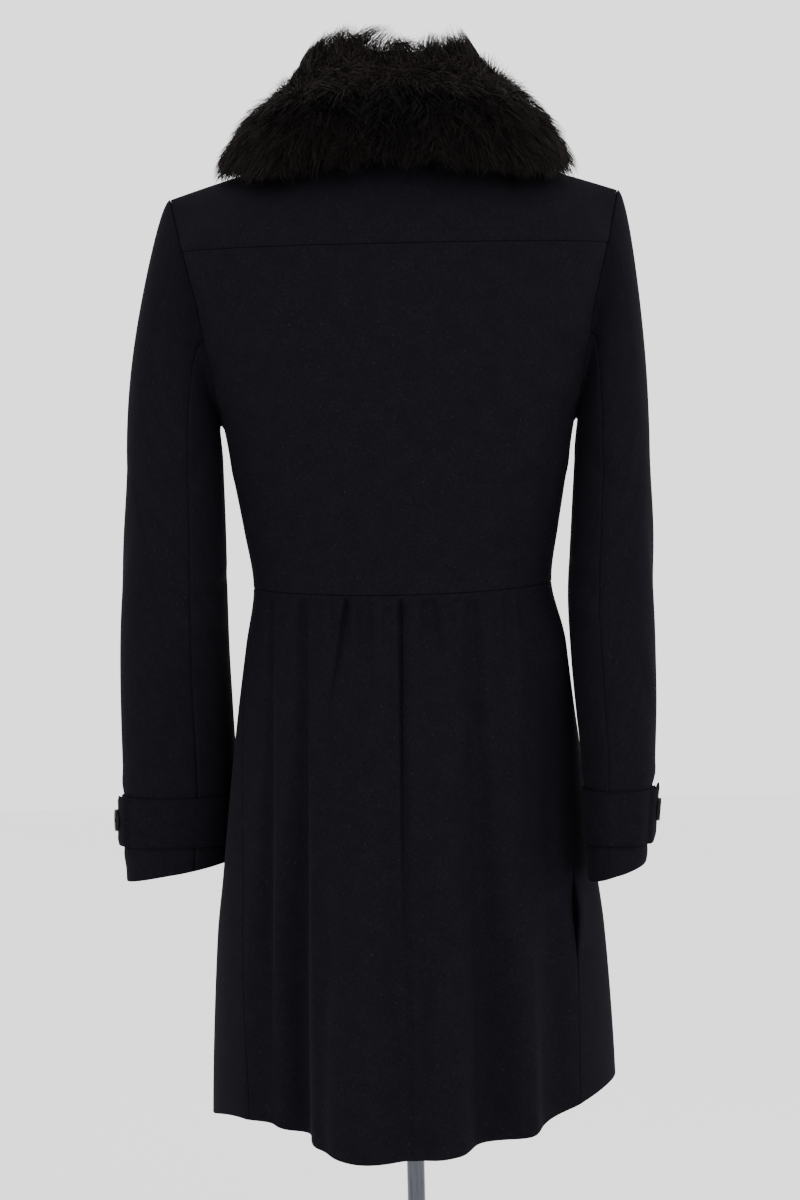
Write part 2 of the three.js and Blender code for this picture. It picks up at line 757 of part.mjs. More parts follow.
// The strap round the cuff. It starts on the outer side, goes round the arm and ends in a
// point that lies over its own start.
function makeStrap(arm, grid) {
  const count = grid.turns.length;
  const nearest = (turn) => {
    const gap = (k) => Math.abs(wrapAngle(grid.turns[k] - turn));
    return grid.turns.reduce((best, _, k) => (gap(k) < gap(best) ? k : best), 0);
  };
  const start = nearest(STRAP.startTurn);
  const first = CAP_RISES.length + ARM_LEVELS.length + 1;
  const rows = [first, first + 1, first + 2];
  const outer = rows.map(() => []);
  const inner = rows.map(() => []);
  for (let step = 0; step <= count + STRAP.overlap; step += 1) {
    const k = (((start - step) % count) + count) % count;
    const over = step >= count ? 1 : 0;
    const past = Math.max(0, step - count) / STRAP.overlap;
    const narrowing = ease((past - 0.45) / 0.55);
    const base = SEAM + over * (STRAP.thick + SEAM) + past * arm.tabLift;
    const centre = grid.outer[first + 1][k];
    rows.forEach((i, r) => {
      const through = grid.outer[i][k].clone().sub(grid.inner[i][k]).normalize();
      const at = grid.outer[i][k].clone().lerp(centre, 0.86 * narrowing);
      at.z += arm.tabRise * past ** 2;
      outer[r].push(at.clone().addScaledVector(through, base + STRAP.thick));
      inner[r].push(at.clone().addScaledVector(through, base));
    });
  }
  return { outer, inner };
}

// A sewn-on button, flat behind with a rim round a dished face, standing on +Z.
function buttonGeometry(radius, thick) {
  const profile = [
    [0, 0],
    [radius * 0.9, 0],
    [radius, thick * 0.3],
    [radius * 0.97, thick * 0.8],
    [radius * 0.84, thick],
    [radius * 0.72, thick * 0.72],
    [0, thick * 0.66],
  ];
  const lathe = new THREE.LatheGeometry(profile.map(([x, y]) => new THREE.Vector2(x, y)), 18);
  lathe.rotateX(Math.PI / 2);
  return solidLathe(lathe);
}

function solidLathe(lathe) {
  const geometry = lathe.index ? lathe.toNonIndexed() : lathe;
  const places = geometry.attributes.position;
  const triangles = [];
  for (let i = 0; i < places.count; i += 3) {
    triangles.push([0, 1, 2].map((k) => new THREE.Vector3().fromBufferAttribute(places, i + k)));
  }
  return geometryFrom(triangles);
}

function placeButton(name, radius, thick, at, normal) {
  const button = addPiece(name, buttonGeometry(radius, thick), "button");
  button.position.copy(at);
  button.quaternion.setFromUnitVectors(point(0, 0, 1), normal);
}

// The plain wool stand inside the fur, on the neck seam.
function makeCollarStand() {
  const angles = steps(-STAND.halfAngle, STAND.halfAngle, 20);
  const edge = (angle, rise, inset) => {
    const lean = STAND.lean * rise + inset;
    return point(
      (NECK.half - lean) * Math.sin(radians(angle)),
      NECK.centreY + (NECK.back - lean) * Math.cos(radians(angle)),
      NECK.sideZ + NECK.backRise * Math.cos(radians(angle)) + 0.5 + STAND.height * rise
    );
  };
  const rows = [0, 0.5, 1];
  const outer = rows.map((rise) => angles.map((angle) => edge(angle, rise, 0)));
  const inner = rows.map((rise) => angles.map((angle) => edge(angle, rise, STAND.wall)));
  return wallBetween(outer, inner);
}

// One section of the fur collar on the back, at an angle round the neck.
function furBackSection(angle) {
  const size = (column) => readTable(FUR_BACK, "angle", Math.abs(angle), column);
  const direction = point(Math.sin(radians(angle)), Math.cos(radians(angle)), 0);
  const seam = point(
    (NECK.half + 0.8) * direction.x,
    NECK.centreY + (NECK.back + 0.8) * direction.y,
    NECK.sideZ + NECK.backRise * direction.y + 2.2
  );
  const reach = size("reach") * (angle < 0 ? 1.06 : 1.02);
  const edge = point(reach * direction.x, NECK.centreY + reach * direction.y, size("edgeZ"));
  return furSection(seam, edge, seam.clone().lerp(edge, 0.5), point(0, 0, 1), size("height"));
}

// One section of the fur collar down the front, at a share of the way up.
function furFrontSection(side, share) {
  const size = (column) => readTable(FUR_FRONT, "share", share, column);
  const surface = (across, up) => upperPoint("front", side * across, up);
  const edgeShare = frontEdgeShare(side, COLLAR_BREAK, share) + 0.012;
  const lift = (across, clear) => {
    const normal = surfaceNormal(surface, across, share, point(0, 0, 1200));
    const at = surface(across, share);
    return { at: at.addScaledVector(normal, clear + lapOut(side, at.x)), normal };
  };
  const seam = lift(edgeShare, 1.5);
  const edge = lift(edgeShare + size("breadth"), 3);
  const middle = lift(edgeShare + size("breadth") / 2, 5);
  const lying = ease((1 - share) / 0.45);
  const upward = point(0, 0, 1).lerp(seam.normal, lying).normalize();
  return furSection(seam.at, edge.at, middle.at, upward, size("height"));
}

function furSection(seam, edge, underside, upward, height) {
  const across = edge.clone().sub(seam);
  const corners = FUR_SECTION.map((row) =>
    seam.clone().addScaledVector(across, row.along).addScaledVector(upward, row.height * height)
  );
  corners.push(underside);
  return new THREE.CatmullRomCurve3(corners, true, "centripetal").getSpacedPoints(13).slice(0, 13);
}

// The fur collar: up one front edge, round the neck and down the other.
function makeFurCollar() {
  const rings = [];
  const shares = [0.32, 0.36, 0.43, 0.51, 0.6, 0.7, 0.8, 0.9];
  shares.forEach((share) => rings.push(furFrontSection(-1, share)));
  steps(-90, 90, 16).forEach((angle) => rings.push(furBackSection(angle)));
  [...shares].reverse().forEach((share) => rings.push(furFrontSection(1, share)));
  const shrink = (ring, scale) => ring.map((at) => at.clone().lerp(middleOf(ring), 1 - scale));
  rings[0] = shrink(rings[0], 0.6);
  rings[rings.length - 1] = shrink(rings[rings.length - 1], 0.6);
  return loftRings(rings);
}

// How far the form stays inside the coat's outer face at each height.
const FORM_INSETS = [
  { z: 780, inset: 34 },
  { z: 850, inset: 24 },
  { z: 950, inset: 13 },
  { z: 1010, inset: 8 },
  { z: 1060, inset: 7.5 },
  { z: 1152, inset: 7 },
  { z: 1230, inset: 6 },
  { z: 1311, inset: 5 },
];

// The limbless form: torso, shoulders and neck in one closed skin.
function makeForm() {
  const levels = [FORM.bottom, 850, 905, 960, 1010, 1060, 1110, UNDERARM];
  const backRows = [...levels, 1180, 1220, 1265, YOKE_SEAM, ...YOKE_RISES];
  const frontRows = [...levels, 1184, COLLAR_BREAK, ...FRONT_RISES];
  const neckSteps = steps(-NECK_SHARE, NECK_SHARE, 8);
  const shoulderSteps = [0.5, 0.6, 0.7, 0.8, 0.9, 0.96];
  const shares = [...shoulderSteps.map((s) => -s).reverse(), ...neckSteps, ...shoulderSteps];
  const facePoint = (face, share, v) => {
    if (v > 1) {
      return bodyPoint(faceAngle(face, share, v), v, readTable(FORM_INSETS, "z", v, "inset"));
    }
    const surface = (u, w) => upperPoint(face, u, w);
    const normal = surfaceNormal(surface, share, v, point(0, 0, face === "back" ? 1270 : 1200));
    if (v === 1 && onShoulder(share)) {
      const along = topPoint(face, share * 1.01).sub(topPoint(face, share * 1.005));
      normal.set(-along.z, 0, along.x).multiplyScalar(Math.sign(share)).normalize();
    }
    return surface(share, v).addScaledVector(normal, -CLOTH - mix(FORM.chestGap, FORM.ridgeGap, v));
  };
  const faceRow = (face, v) => shares.map((share) => facePoint(face, share, v));
  const sideRow = (side, v, from, to) => {
    const count = 4;
    return steps(0, 1, count)
      .slice(1, count)
      .map((t) => {
        if (v > 1 && v <= UNDERARM) {
          const back = sideAngle("back", v) * shares[shares.length - 1];
          const front = 180 - sideAngle("front", v) * shares[shares.length - 1];
          return bodyPoint(side * mix(back, front, t), v, readTable(FORM_INSETS, "z", v, "inset"));
        }
        return from.clone().lerp(to, t);
      });
  };
  const rings = backRows.map((v, i) => {
    const back = faceRow("back", v);
    const front = faceRow("front", frontRows[i]).reverse();
    const level = v > 1 && v <= UNDERARM ? v : 0;
    const left = sideRow(1, level, back[back.length - 1], front[0]);
    const right = sideRow(-1, level, back[0], front[front.length - 1]).reverse();
    return [...back, ...left, ...front, ...right];
  });
  const triangles = gridTriangles(rings.map((ring) => [...ring, ring[0]]));
  const foot = middleOf(rings[0]);
  rings[0].forEach((at, j) => {
    triangles.push([foot, rings[0][(j + 1) % rings[0].length], at]);
  });
  const neckBack = neckSteps.map((share) => facePoint("back", share, 1));
  const neckFront = neckSteps.map((share) => facePoint("front", share, 1)).reverse();
  const neckRing = [...neckBack, ...neckFront.slice(1, -1)];
  const neckRow = (z, radius) =>
    neckRing.map((at) => {
      const flat = point(at.x, at.y - NECK.centreY, 0).normalize();
      return point(flat.x * radius, NECK.centreY + flat.y * radius, z);
    });
  const neckRows = [
    neckRing,
    neckRow(1402, FORM.neckRound + 6),
    neckRow(1418, FORM.neckRound),
    neckRow(FORM.neckTop, FORM.neckRound),
  ];
  triangles.push(...gridTriangles(neckRows.map((ring) => [...ring, ring[0]])));
  const crown = point(0, NECK.centreY, FORM.neckTop);
  const top = neckRows[neckRows.length - 1];
  top.forEach((at, j) => {
    triangles.push([crown, at, top[(j + 1) % top.length]]);
  });
  return geometryFrom(triangles);
}

function latheSolid(profile, segments) {
  const lathe = new THREE.LatheGeometry(profile.map(([x, y]) => new THREE.Vector2(x, y)), segments);
  lathe.rotateX(Math.PI / 2);
  return solidLathe(lathe);
}

function makeNeckCap() {
  const radius = FORM.neckRound;
  return latheSolid(
    [
      [0, 0],
      [radius, 0],
      [radius + 2, 3],
      [radius, 7],
      [radius * 0.7, 10],
      [radius * 0.3, 12],
      [0, 12.5],
    ],
    28
  );
}

function makePole() {
  const height = POLE.top - POLE.foot - SEAM;
  return latheSolid(
    [
      [0, 0],
      [POLE.radius, 0],
      [POLE.radius, height],
      [0, height],
    ],
    24
  );
}

function makeBase() {
  return latheSolid(
    [
      [0, 0],
      [BASE.radius - 2, 0],
      [BASE.radius, 2],
      [BASE.radius, BASE.rim - 2],
      [BASE.radius - 2, BASE.rim],
      [BASE.hubRadius + 14, BASE.crown],
      [BASE.hubRadius + 1, BASE.crown + 6],
      [BASE.hubRadius, BASE.hubTop - 2],
      [BASE.hubRadius - 2, BASE.hubTop],
      [POLE.radius + SEAM, BASE.hubTop],
      [POLE.radius + SEAM, POLE.foot],
      [0, POLE.foot],
    ],
    40
  );
}

// A point on the centre front of the bodice or the skirt, before the lap.
function centreFront(z) {
  return z < WAIST_BACK ? skirtPoint(180, z) : bodyPoint(180, z);
}

const yoke = makeBackYoke();
const bodice = makeBackBodice();
const fronts = { left: makeFrontBodice(1), right: makeFrontBodice(-1) };

addPiece("back_yoke", finish(yoke), "wool");
addPiece("back_bodice", finish(bodice), "wool");
addPiece("back_skirt", finish(makeBackSkirt()), "wool");
for (const name of ["left", "right"]) {
  const arm = ARMS[name];
  addPiece(`front_bodice_${name}`, finish(fronts[name]), "wool");
  addPiece(`front_skirt_${name}`, finish(makeFrontSkirt(arm.sign)), "wool");
  const loop = armholeLoop(arm.sign, { yoke, bodice, front: fronts[name] });
  const grid = sleeveGrid(arm, loop);
  const backSeam = grid.turns.findIndex((turn) => turn > SLEEVE.backSeam);
  const frontSeam = grid.turns.findIndex((turn) => turn > SLEEVE.frontSeam);
  addPiece(`sleeve_under_${name}`, sleevePart(grid, backSeam, frontSeam), "wool");
  addPiece(`sleeve_top_${name}`, sleevePart(grid, frontSeam, backSeam + grid.turns.length), "wool");
  const strap = makeStrap(arm, grid);
  addPiece(`sleeve_strap_${name}`, finish(strap), "strap");
  const buttonColumn = grid.turns.length + STRAP.overlap / 2;
  const seat = strap.outer[1][buttonColumn].clone();
  const through = seat.clone().sub(strap.inner[1][buttonColumn]).normalize();
  seat.addScaledVector(through, SEAM);
  placeButton(`strap_button_${name}`, STRAP.buttonRadius, STRAP.buttonThick, seat, through);
}
addPiece("collar_stand", makeCollarStand(), "wool");
addPiece("fur_collar", makeFurCollar(), "fur");
for (let i = 0; i < BUTTON.count; i += 1) {
  const z = BUTTON.topZ - i * BUTTON.pitch;
  const pastBreak = (z - COLLAR_BREAK) / 160;
  const at = z > COLLAR_BREAK ? upperPoint("front", 0, pastBreak) : centreFront(z);
  const level = Math.min(z, COLLAR_BREAK - 12);
  const below = centreFront(level - 12);
  const above = centreFront(level + 12);
  const slope = above.clone().sub(below);
  const normal = point(0, -slope.z, slope.y).normalize();
  placeButton(
    `front_button_${i + 1}`,
    BUTTON.radius,
    BUTTON.thick,
    at.addScaledVector(normal, LAP_STEP + 3 * SEAM),
    normal
  );
}

addPiece("form_torso", makeForm(), "form");
const neckCap = addPiece("form_neck_cap", makeNeckCap(), "wood");
neckCap.position.set(0, NECK.centreY, FORM.neckTop + SEAM);
const pole = addPiece("stand_pole", makePole(), "steel");
pole.position.set(0, 0, POLE.foot + SEAM);
addPiece("stand_base", makeBase(), "steel");

export default coat;
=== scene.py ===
import json
import math
import bpy
import numpy as np
from mathutils import Euler, Matrix, Vector
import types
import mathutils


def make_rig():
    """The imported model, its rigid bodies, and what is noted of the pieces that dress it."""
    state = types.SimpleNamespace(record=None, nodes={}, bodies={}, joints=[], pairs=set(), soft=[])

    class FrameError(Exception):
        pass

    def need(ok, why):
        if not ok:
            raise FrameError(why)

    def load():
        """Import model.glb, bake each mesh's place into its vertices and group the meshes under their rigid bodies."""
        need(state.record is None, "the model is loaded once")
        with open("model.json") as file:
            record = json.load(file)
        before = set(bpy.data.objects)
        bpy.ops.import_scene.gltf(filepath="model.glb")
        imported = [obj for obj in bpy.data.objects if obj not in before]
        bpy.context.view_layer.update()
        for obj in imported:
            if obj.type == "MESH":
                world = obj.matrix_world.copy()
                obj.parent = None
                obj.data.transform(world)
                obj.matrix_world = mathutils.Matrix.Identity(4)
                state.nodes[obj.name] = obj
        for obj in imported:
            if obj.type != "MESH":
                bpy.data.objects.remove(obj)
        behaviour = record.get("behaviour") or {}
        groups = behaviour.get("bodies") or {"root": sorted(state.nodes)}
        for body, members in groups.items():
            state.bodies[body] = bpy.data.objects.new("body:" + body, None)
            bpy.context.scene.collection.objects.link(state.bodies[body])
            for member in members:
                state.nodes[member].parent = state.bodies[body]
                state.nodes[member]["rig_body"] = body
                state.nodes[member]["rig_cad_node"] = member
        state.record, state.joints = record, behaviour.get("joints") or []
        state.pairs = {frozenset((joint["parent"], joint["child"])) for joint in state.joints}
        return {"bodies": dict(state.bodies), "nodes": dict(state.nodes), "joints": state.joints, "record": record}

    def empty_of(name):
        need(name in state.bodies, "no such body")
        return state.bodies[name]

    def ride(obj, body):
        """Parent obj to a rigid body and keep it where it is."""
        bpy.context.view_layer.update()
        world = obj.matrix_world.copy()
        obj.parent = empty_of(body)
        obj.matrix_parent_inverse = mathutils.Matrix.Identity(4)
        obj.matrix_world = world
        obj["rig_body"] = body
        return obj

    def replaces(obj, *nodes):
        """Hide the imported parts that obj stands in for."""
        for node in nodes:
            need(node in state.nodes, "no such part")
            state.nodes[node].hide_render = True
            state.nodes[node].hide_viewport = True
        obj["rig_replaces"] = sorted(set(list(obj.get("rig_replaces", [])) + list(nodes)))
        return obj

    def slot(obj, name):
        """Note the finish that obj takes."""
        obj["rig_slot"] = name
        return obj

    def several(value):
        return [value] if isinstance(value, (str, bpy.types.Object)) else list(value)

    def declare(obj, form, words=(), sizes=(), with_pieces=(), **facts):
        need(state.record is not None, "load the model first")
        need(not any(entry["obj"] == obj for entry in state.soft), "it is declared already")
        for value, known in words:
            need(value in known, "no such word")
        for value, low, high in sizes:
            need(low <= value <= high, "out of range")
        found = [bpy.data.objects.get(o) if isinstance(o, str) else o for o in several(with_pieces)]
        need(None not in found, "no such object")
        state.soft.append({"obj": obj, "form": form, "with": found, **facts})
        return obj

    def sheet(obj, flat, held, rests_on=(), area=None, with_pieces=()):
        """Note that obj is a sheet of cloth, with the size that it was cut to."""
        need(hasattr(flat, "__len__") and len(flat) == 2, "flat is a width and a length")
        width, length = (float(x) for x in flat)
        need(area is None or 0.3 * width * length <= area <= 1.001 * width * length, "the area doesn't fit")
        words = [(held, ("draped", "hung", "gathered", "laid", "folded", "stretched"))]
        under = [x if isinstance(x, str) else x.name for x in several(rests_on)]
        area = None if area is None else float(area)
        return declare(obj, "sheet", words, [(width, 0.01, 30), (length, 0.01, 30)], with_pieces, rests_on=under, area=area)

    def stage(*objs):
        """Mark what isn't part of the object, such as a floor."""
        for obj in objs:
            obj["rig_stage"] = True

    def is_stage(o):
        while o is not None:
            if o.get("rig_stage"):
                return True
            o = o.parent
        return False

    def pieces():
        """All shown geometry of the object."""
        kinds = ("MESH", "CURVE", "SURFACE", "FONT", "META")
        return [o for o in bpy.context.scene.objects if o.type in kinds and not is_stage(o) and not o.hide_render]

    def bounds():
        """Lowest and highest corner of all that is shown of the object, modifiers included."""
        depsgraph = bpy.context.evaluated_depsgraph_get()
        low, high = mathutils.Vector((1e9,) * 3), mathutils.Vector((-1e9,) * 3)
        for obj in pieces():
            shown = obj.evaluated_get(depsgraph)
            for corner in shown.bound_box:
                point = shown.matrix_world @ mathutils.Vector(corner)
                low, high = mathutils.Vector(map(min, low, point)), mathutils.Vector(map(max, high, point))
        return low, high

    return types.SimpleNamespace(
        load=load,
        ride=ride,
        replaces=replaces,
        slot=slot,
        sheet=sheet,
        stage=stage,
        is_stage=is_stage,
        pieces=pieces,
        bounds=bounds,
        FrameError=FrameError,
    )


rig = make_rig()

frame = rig.load()
cadBox = [list(corner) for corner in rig.bounds()]
print("frame loaded")

# A dark wool coat with a fur collar, seen from behind on a limbless dress form.
# Lengths in the dictionaries are millimetres and become metres as a mesh is made. Angles run round
# the body in degrees from the centre back: 90 is the wearer's left and 180 the centre front.


# camera, floor and light
view = {"place": (-0.0006, 2.8, 1.14), "lens": 93.33, "shift": -0.1333, "roll": -1.3}

bpy.ops.object.select_all(action="DESELECT")
bpy.ops.object.camera_add(location=view["place"])
camera = bpy.context.object
camera.name = "photoCamera"
turned = Euler((math.pi / 2, 0, math.pi)).to_matrix() @ Matrix.Rotation(math.radians(view["roll"]), 3, "Z")
camera.rotation_euler = turned.to_euler()
camera.data.lens = view["lens"]
camera.data.sensor_width = 36
camera.data.shift_y = view["shift"]
bpy.context.scene.camera = camera

studio = {
    "floorSize": 14.0,
    "world": 2.0,
    "lamps": [
        {"name": "softFront", "place": (-1.6, 3.0, 2.6), "size": 2.2, "power": 44},
        {"name": "softLeft", "place": (2.4, 1.6, 1.9), "size": 2.0, "power": 7},
        {"name": "rimRight", "place": (-2.2, -0.9, 1.7), "size": 1.4, "power": 13},
        {"name": "rimLeft", "place": (2.2, -1.1, 1.6), "size": 1.4, "power": 3},
    ],
}


def aimedAt(place, target):
    return (Vector(target) - Vector(place)).to_track_quat("-Z", "Y").to_euler()


def makeStudio():
    world = bpy.data.worlds.new("paleStudio")
    world.use_nodes = True
    back = world.node_tree.nodes["Background"]
    back.inputs["Color"].default_value = (1, 1, 1, 1)
    back.inputs["Strength"].default_value = studio["world"]
    bpy.context.scene.world = world
    for lamp in studio["lamps"]:
        bpy.ops.object.light_add(type="AREA", location=lamp["place"])
        light = bpy.context.object
        light.name = lamp["name"]
        light.data.size = lamp["size"]
        light.data.energy = lamp["power"]
        light.rotation_euler = aimedAt(lamp["place"], (0, 0, 1.0))
    bpy.ops.mesh.primitive_plane_add(size=studio["floorSize"])
    floor = bpy.context.object
    floor.name = "studioFloor"
    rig.stage(floor)
    return floor


# small helpers
def readTable(table, key, at, column):
    # smooth value of one column between rows sorted by the key
    keys = np.array(table[key], float)
    values = np.array(table[column], float)
    if keys[-1] < keys[0]:
        keys, values = keys[::-1], values[::-1]
    at = np.asarray(at, float)
    row = np.clip(np.searchsorted(keys, at, side="right") - 1, 0, len(keys) - 2)
    slope = np.empty(len(keys))
    slope[1:-1] = (values[2:] - values[:-2]) / (keys[2:] - keys[:-2])
    slope[0] = (values[1] - values[0]) / (keys[1] - keys[0])
    slope[-1] = (values[-1] - values[-2]) / (keys[-1] - keys[-2])
    gap = keys[row + 1] - keys[row]
    t = np.clip((at - keys[row]) / gap, 0, 1)
    t2, t3 = t * t, t * t * t
    return ((2 * t3 - 3 * t2 + 1) * values[row] + (t3 - 2 * t2 + t) * gap * slope[row]
            + (3 * t2 - 2 * t3) * values[row + 1] + (t3 - t2) * gap * slope[row + 1])


def mix(a, b, t):
    return a + (b - a) * t


def ease(t):
    t = np.clip(t, 0, 1)
    return t * t * (3 - 2 * t)


def bow(value, power):
    return np.sign(value) * np.abs(value) ** power


def stack(x, y, z):
    return np.stack(np.broadcast_arrays(x, y, z), axis=-1).astype(float)


def unit(vectors):
    return vectors / np.maximum(np.linalg.norm(vectors, axis=-1, keepdims=True), 1e-9)


def wrapAngle(angle):
    return (angle + 180) % 360 - 180


def bell(away, width):
    return np.exp(-(away / width) ** 2)


def hump(away, half):
    # 1 in the middle, and 0 from a half width on
    return np.where(np.abs(away) < half, np.cos(np.pi * away / (2 * half)) ** 2, 0)


def bezier(start, first, last, end, t):
    return (1 - t) ** 3 * start + 3 * t * (1 - t) ** 2 * first + 3 * t * t * (1 - t) * last + t ** 3 * end


def runAlong(points):
    # distance along a line of points
    return np.concatenate([[0], np.cumsum(np.linalg.norm(np.diff(points, axis=0), axis=1))])


def pickAlong(values, run, places):
    return np.stack([np.interp(places, run, values[:, k]) for k in range(3)], axis=1)


def fromAxis(grid):
    # unit vectors away from the middle of each row
    return unit(grid - grid.mean(axis=1, keepdims=True))


def softNoise(points, size, seed):
    # smooth random values from -1 to 1, about one bump for each size
    lattice = np.random.RandomState(seed).rand(17, 19, 23)
    q = points / np.array(size, float)
    cell = np.floor(q).astype(int)
    f = q - cell
    f = f * f * (3 - 2 * f)
    total = 0
    for dx in (0, 1):
        for dy in (0, 1):
            for dz in (0, 1):
                share = np.abs(1 - dx - f[..., 0]) * np.abs(1 - dy - f[..., 1]) * np.abs(1 - dz - f[..., 2])
                total = total + share * lattice[(cell[..., 0] + dx) % 17, (cell[..., 1] + dy) % 19,
                                                (cell[..., 2] + dz) % 23]
    return 2 * total - 1


def runLength(grid, axis):
    # distance along the rows or the columns of a grid of points
    step = np.linalg.norm(np.diff(grid, axis=axis), axis=-1)
    pad = [(0, 0), (0, 0)]
    pad[axis] = (1, 0)
    return np.cumsum(np.pad(step, pad), axis=axis)


def gridNormals(grid, inside):
    normal = unit(np.cross(np.gradient(grid, axis=1), np.gradient(grid, axis=0)))
    sign = np.sign(np.median(((grid - inside) * normal).sum(-1)))
    return normal * sign


# distances from a panel's edge of the extra rows and columns that turn it in
edgeSteps = np.array([0.35, 0.9, 1.6, 2.6])


def evenSteps(curve, count):
    # shares that divide a curve evenly, with a few more close to its ends for the turned edge
    fine = np.linspace(0, 1, 1500)
    run = runAlong(curve(fine))
    wanted = np.concatenate([np.linspace(0, run[-1], count + 1), edgeSteps, run[-1] - edgeSteps])
    wanted = np.unique(np.round(wanted, 3))
    keep = np.concatenate([[True], np.diff(wanted) > 0.3])
    wanted = wanted[keep]
    wanted[-1] = run[-1]
    return np.interp(wanted, run, fine)


def creaseOut(s, z, creases):
    # soft uneven troughs, each with a low ridge beside it
    out = np.zeros(np.broadcast(s, z).shape)
    for at, height, slant, longHalf, wide, deep in creases:
        cosine, sine = math.cos(math.radians(slant)), math.sin(math.radians(slant))
        along = (s - at) * cosine + (z - height) * sine
        across = -(s - at) * sine + (z - height) * cosine
        across = across + 0.12 * longHalf * np.sin(along / longHalf * 1.7)
        ridge = bell(across - 1.9 * wide, 1.2 * wide)
        out = out + hump(along, longHalf) * deep * (0.6 * ridge - bell(across, wide))
    return out


# materials
def newGroup(name, inputs, outputs):
    group = bpy.data.node_groups.new(name, "ShaderNodeTree")
    for socketName, kind, value in inputs:
        socket = group.interface.new_socket(name=socketName, in_out="INPUT", socket_type=kind)
        if value is not None:
            socket.default_value = value
    for socketName, kind in outputs:
        group.interface.new_socket(name=socketName, in_out="OUTPUT", socket_type=kind)
    return group, group.nodes.new("NodeGroupInput"), group.nodes.new("NodeGroupOutput")


def addMath(tree, operation, first, second):
    node = tree.nodes.new("ShaderNodeMath")
    node.operation = operation
    for socket, value in zip(node.inputs, (first, second)):
        if isinstance(value, (int, float)):
            socket.default_value = value
        else:
            tree.links.new(value, socket)
    return node.outputs[0]


def addBlend(tree, first, firstShare, second, secondShare):
    return addMath(tree, "ADD", addMath(tree, "MULTIPLY", first, firstShare),
                   addMath(tree, "MULTIPLY", second, secondShare))


def addNoise(tree, vector, scale, detail=2.0, rough=0.5):
    node = tree.nodes.new("ShaderNodeTexNoise")
    node.inputs["Detail"].default_value = detail
    node.inputs["Roughness"].default_value = rough
    tree.links.new(vector, node.inputs["Vector"])
    if isinstance(scale, (int, float)):
        node.inputs["Scale"].default_value = scale
    else:
        tree.links.new(scale, node.inputs["Scale"])
    return node.outputs["Fac"]


def addStretch(tree, vector, scale):
    node = tree.nodes.new("ShaderNodeMapping")
    node.inputs["Scale"].default_value = scale
    tree.links.new(vector, node.inputs["Vector"])
    return node.outputs[0]


def makeNapGroup():
    # felted fibres: short hairs in two directions, slow blotches and a few pale specks
    group, source, sink = newGroup("feltedNap", [
        ("place", "NodeSocketVector", None), ("fibres", "NodeSocketFloat", 900.0),
        ("blotches", "NodeSocketFloat", 60.0), ("specks", "NodeSocketFloat", 0.72)],
        [("tone", "NodeSocketFloat"), ("height", "NodeSocketFloat"), ("lint", "NodeSocketFloat")])
    place = source.outputs["place"]
    across = addNoise(group, addStretch(group, place, (1, 0.28, 1)), source.outputs["fibres"], 2.0)
    down = addNoise(group, addStretch(group, place, (0.3, 1, 1)), source.outputs["fibres"], 2.0)
    blotch = addNoise(group, place, source.outputs["blotches"], 3.0, 0.6)
    fibre = addBlend(group, across, 0.5, down, 0.5)
    tone = addBlend(group, fibre, 0.75, blotch, 0.25)
    speck = addNoise(group, place, 420.0, 0.0)
    lint = addMath(group, "GREATER_THAN", speck, source.outputs["specks"])
    group.links.new(tone, sink.inputs["tone"])
    group.links.new(fibre, sink.inputs["height"])
    group.links.new(lint, sink.inputs["lint"])
    return group


def makeStreakGroup():
    # fine lines along one direction, for brushed metal, wood grain and the clouds of horn
    group, source, sink = newGroup("longStreaks", [
        ("place", "NodeSocketVector", None), ("fineness", "NodeSocketFloat", 200.0)],
        [("streak", "NodeSocketFloat"), ("wander", "NodeSocketFloat")])
    place, fineness = source.outputs["place"], source.outputs["fineness"]
    streak = addNoise(group, place, fineness, 4.0, 0.65)
    slow = addNoise(group, place, addMath(group, "MULTIPLY", fineness, 0.13), 2.0)
    group.links.new(streak, sink.inputs["streak"])
    group.links.new(slow, sink.inputs["wander"])
    return group


napGroup = makeNapGroup()
streakGroup = makeStreakGroup()


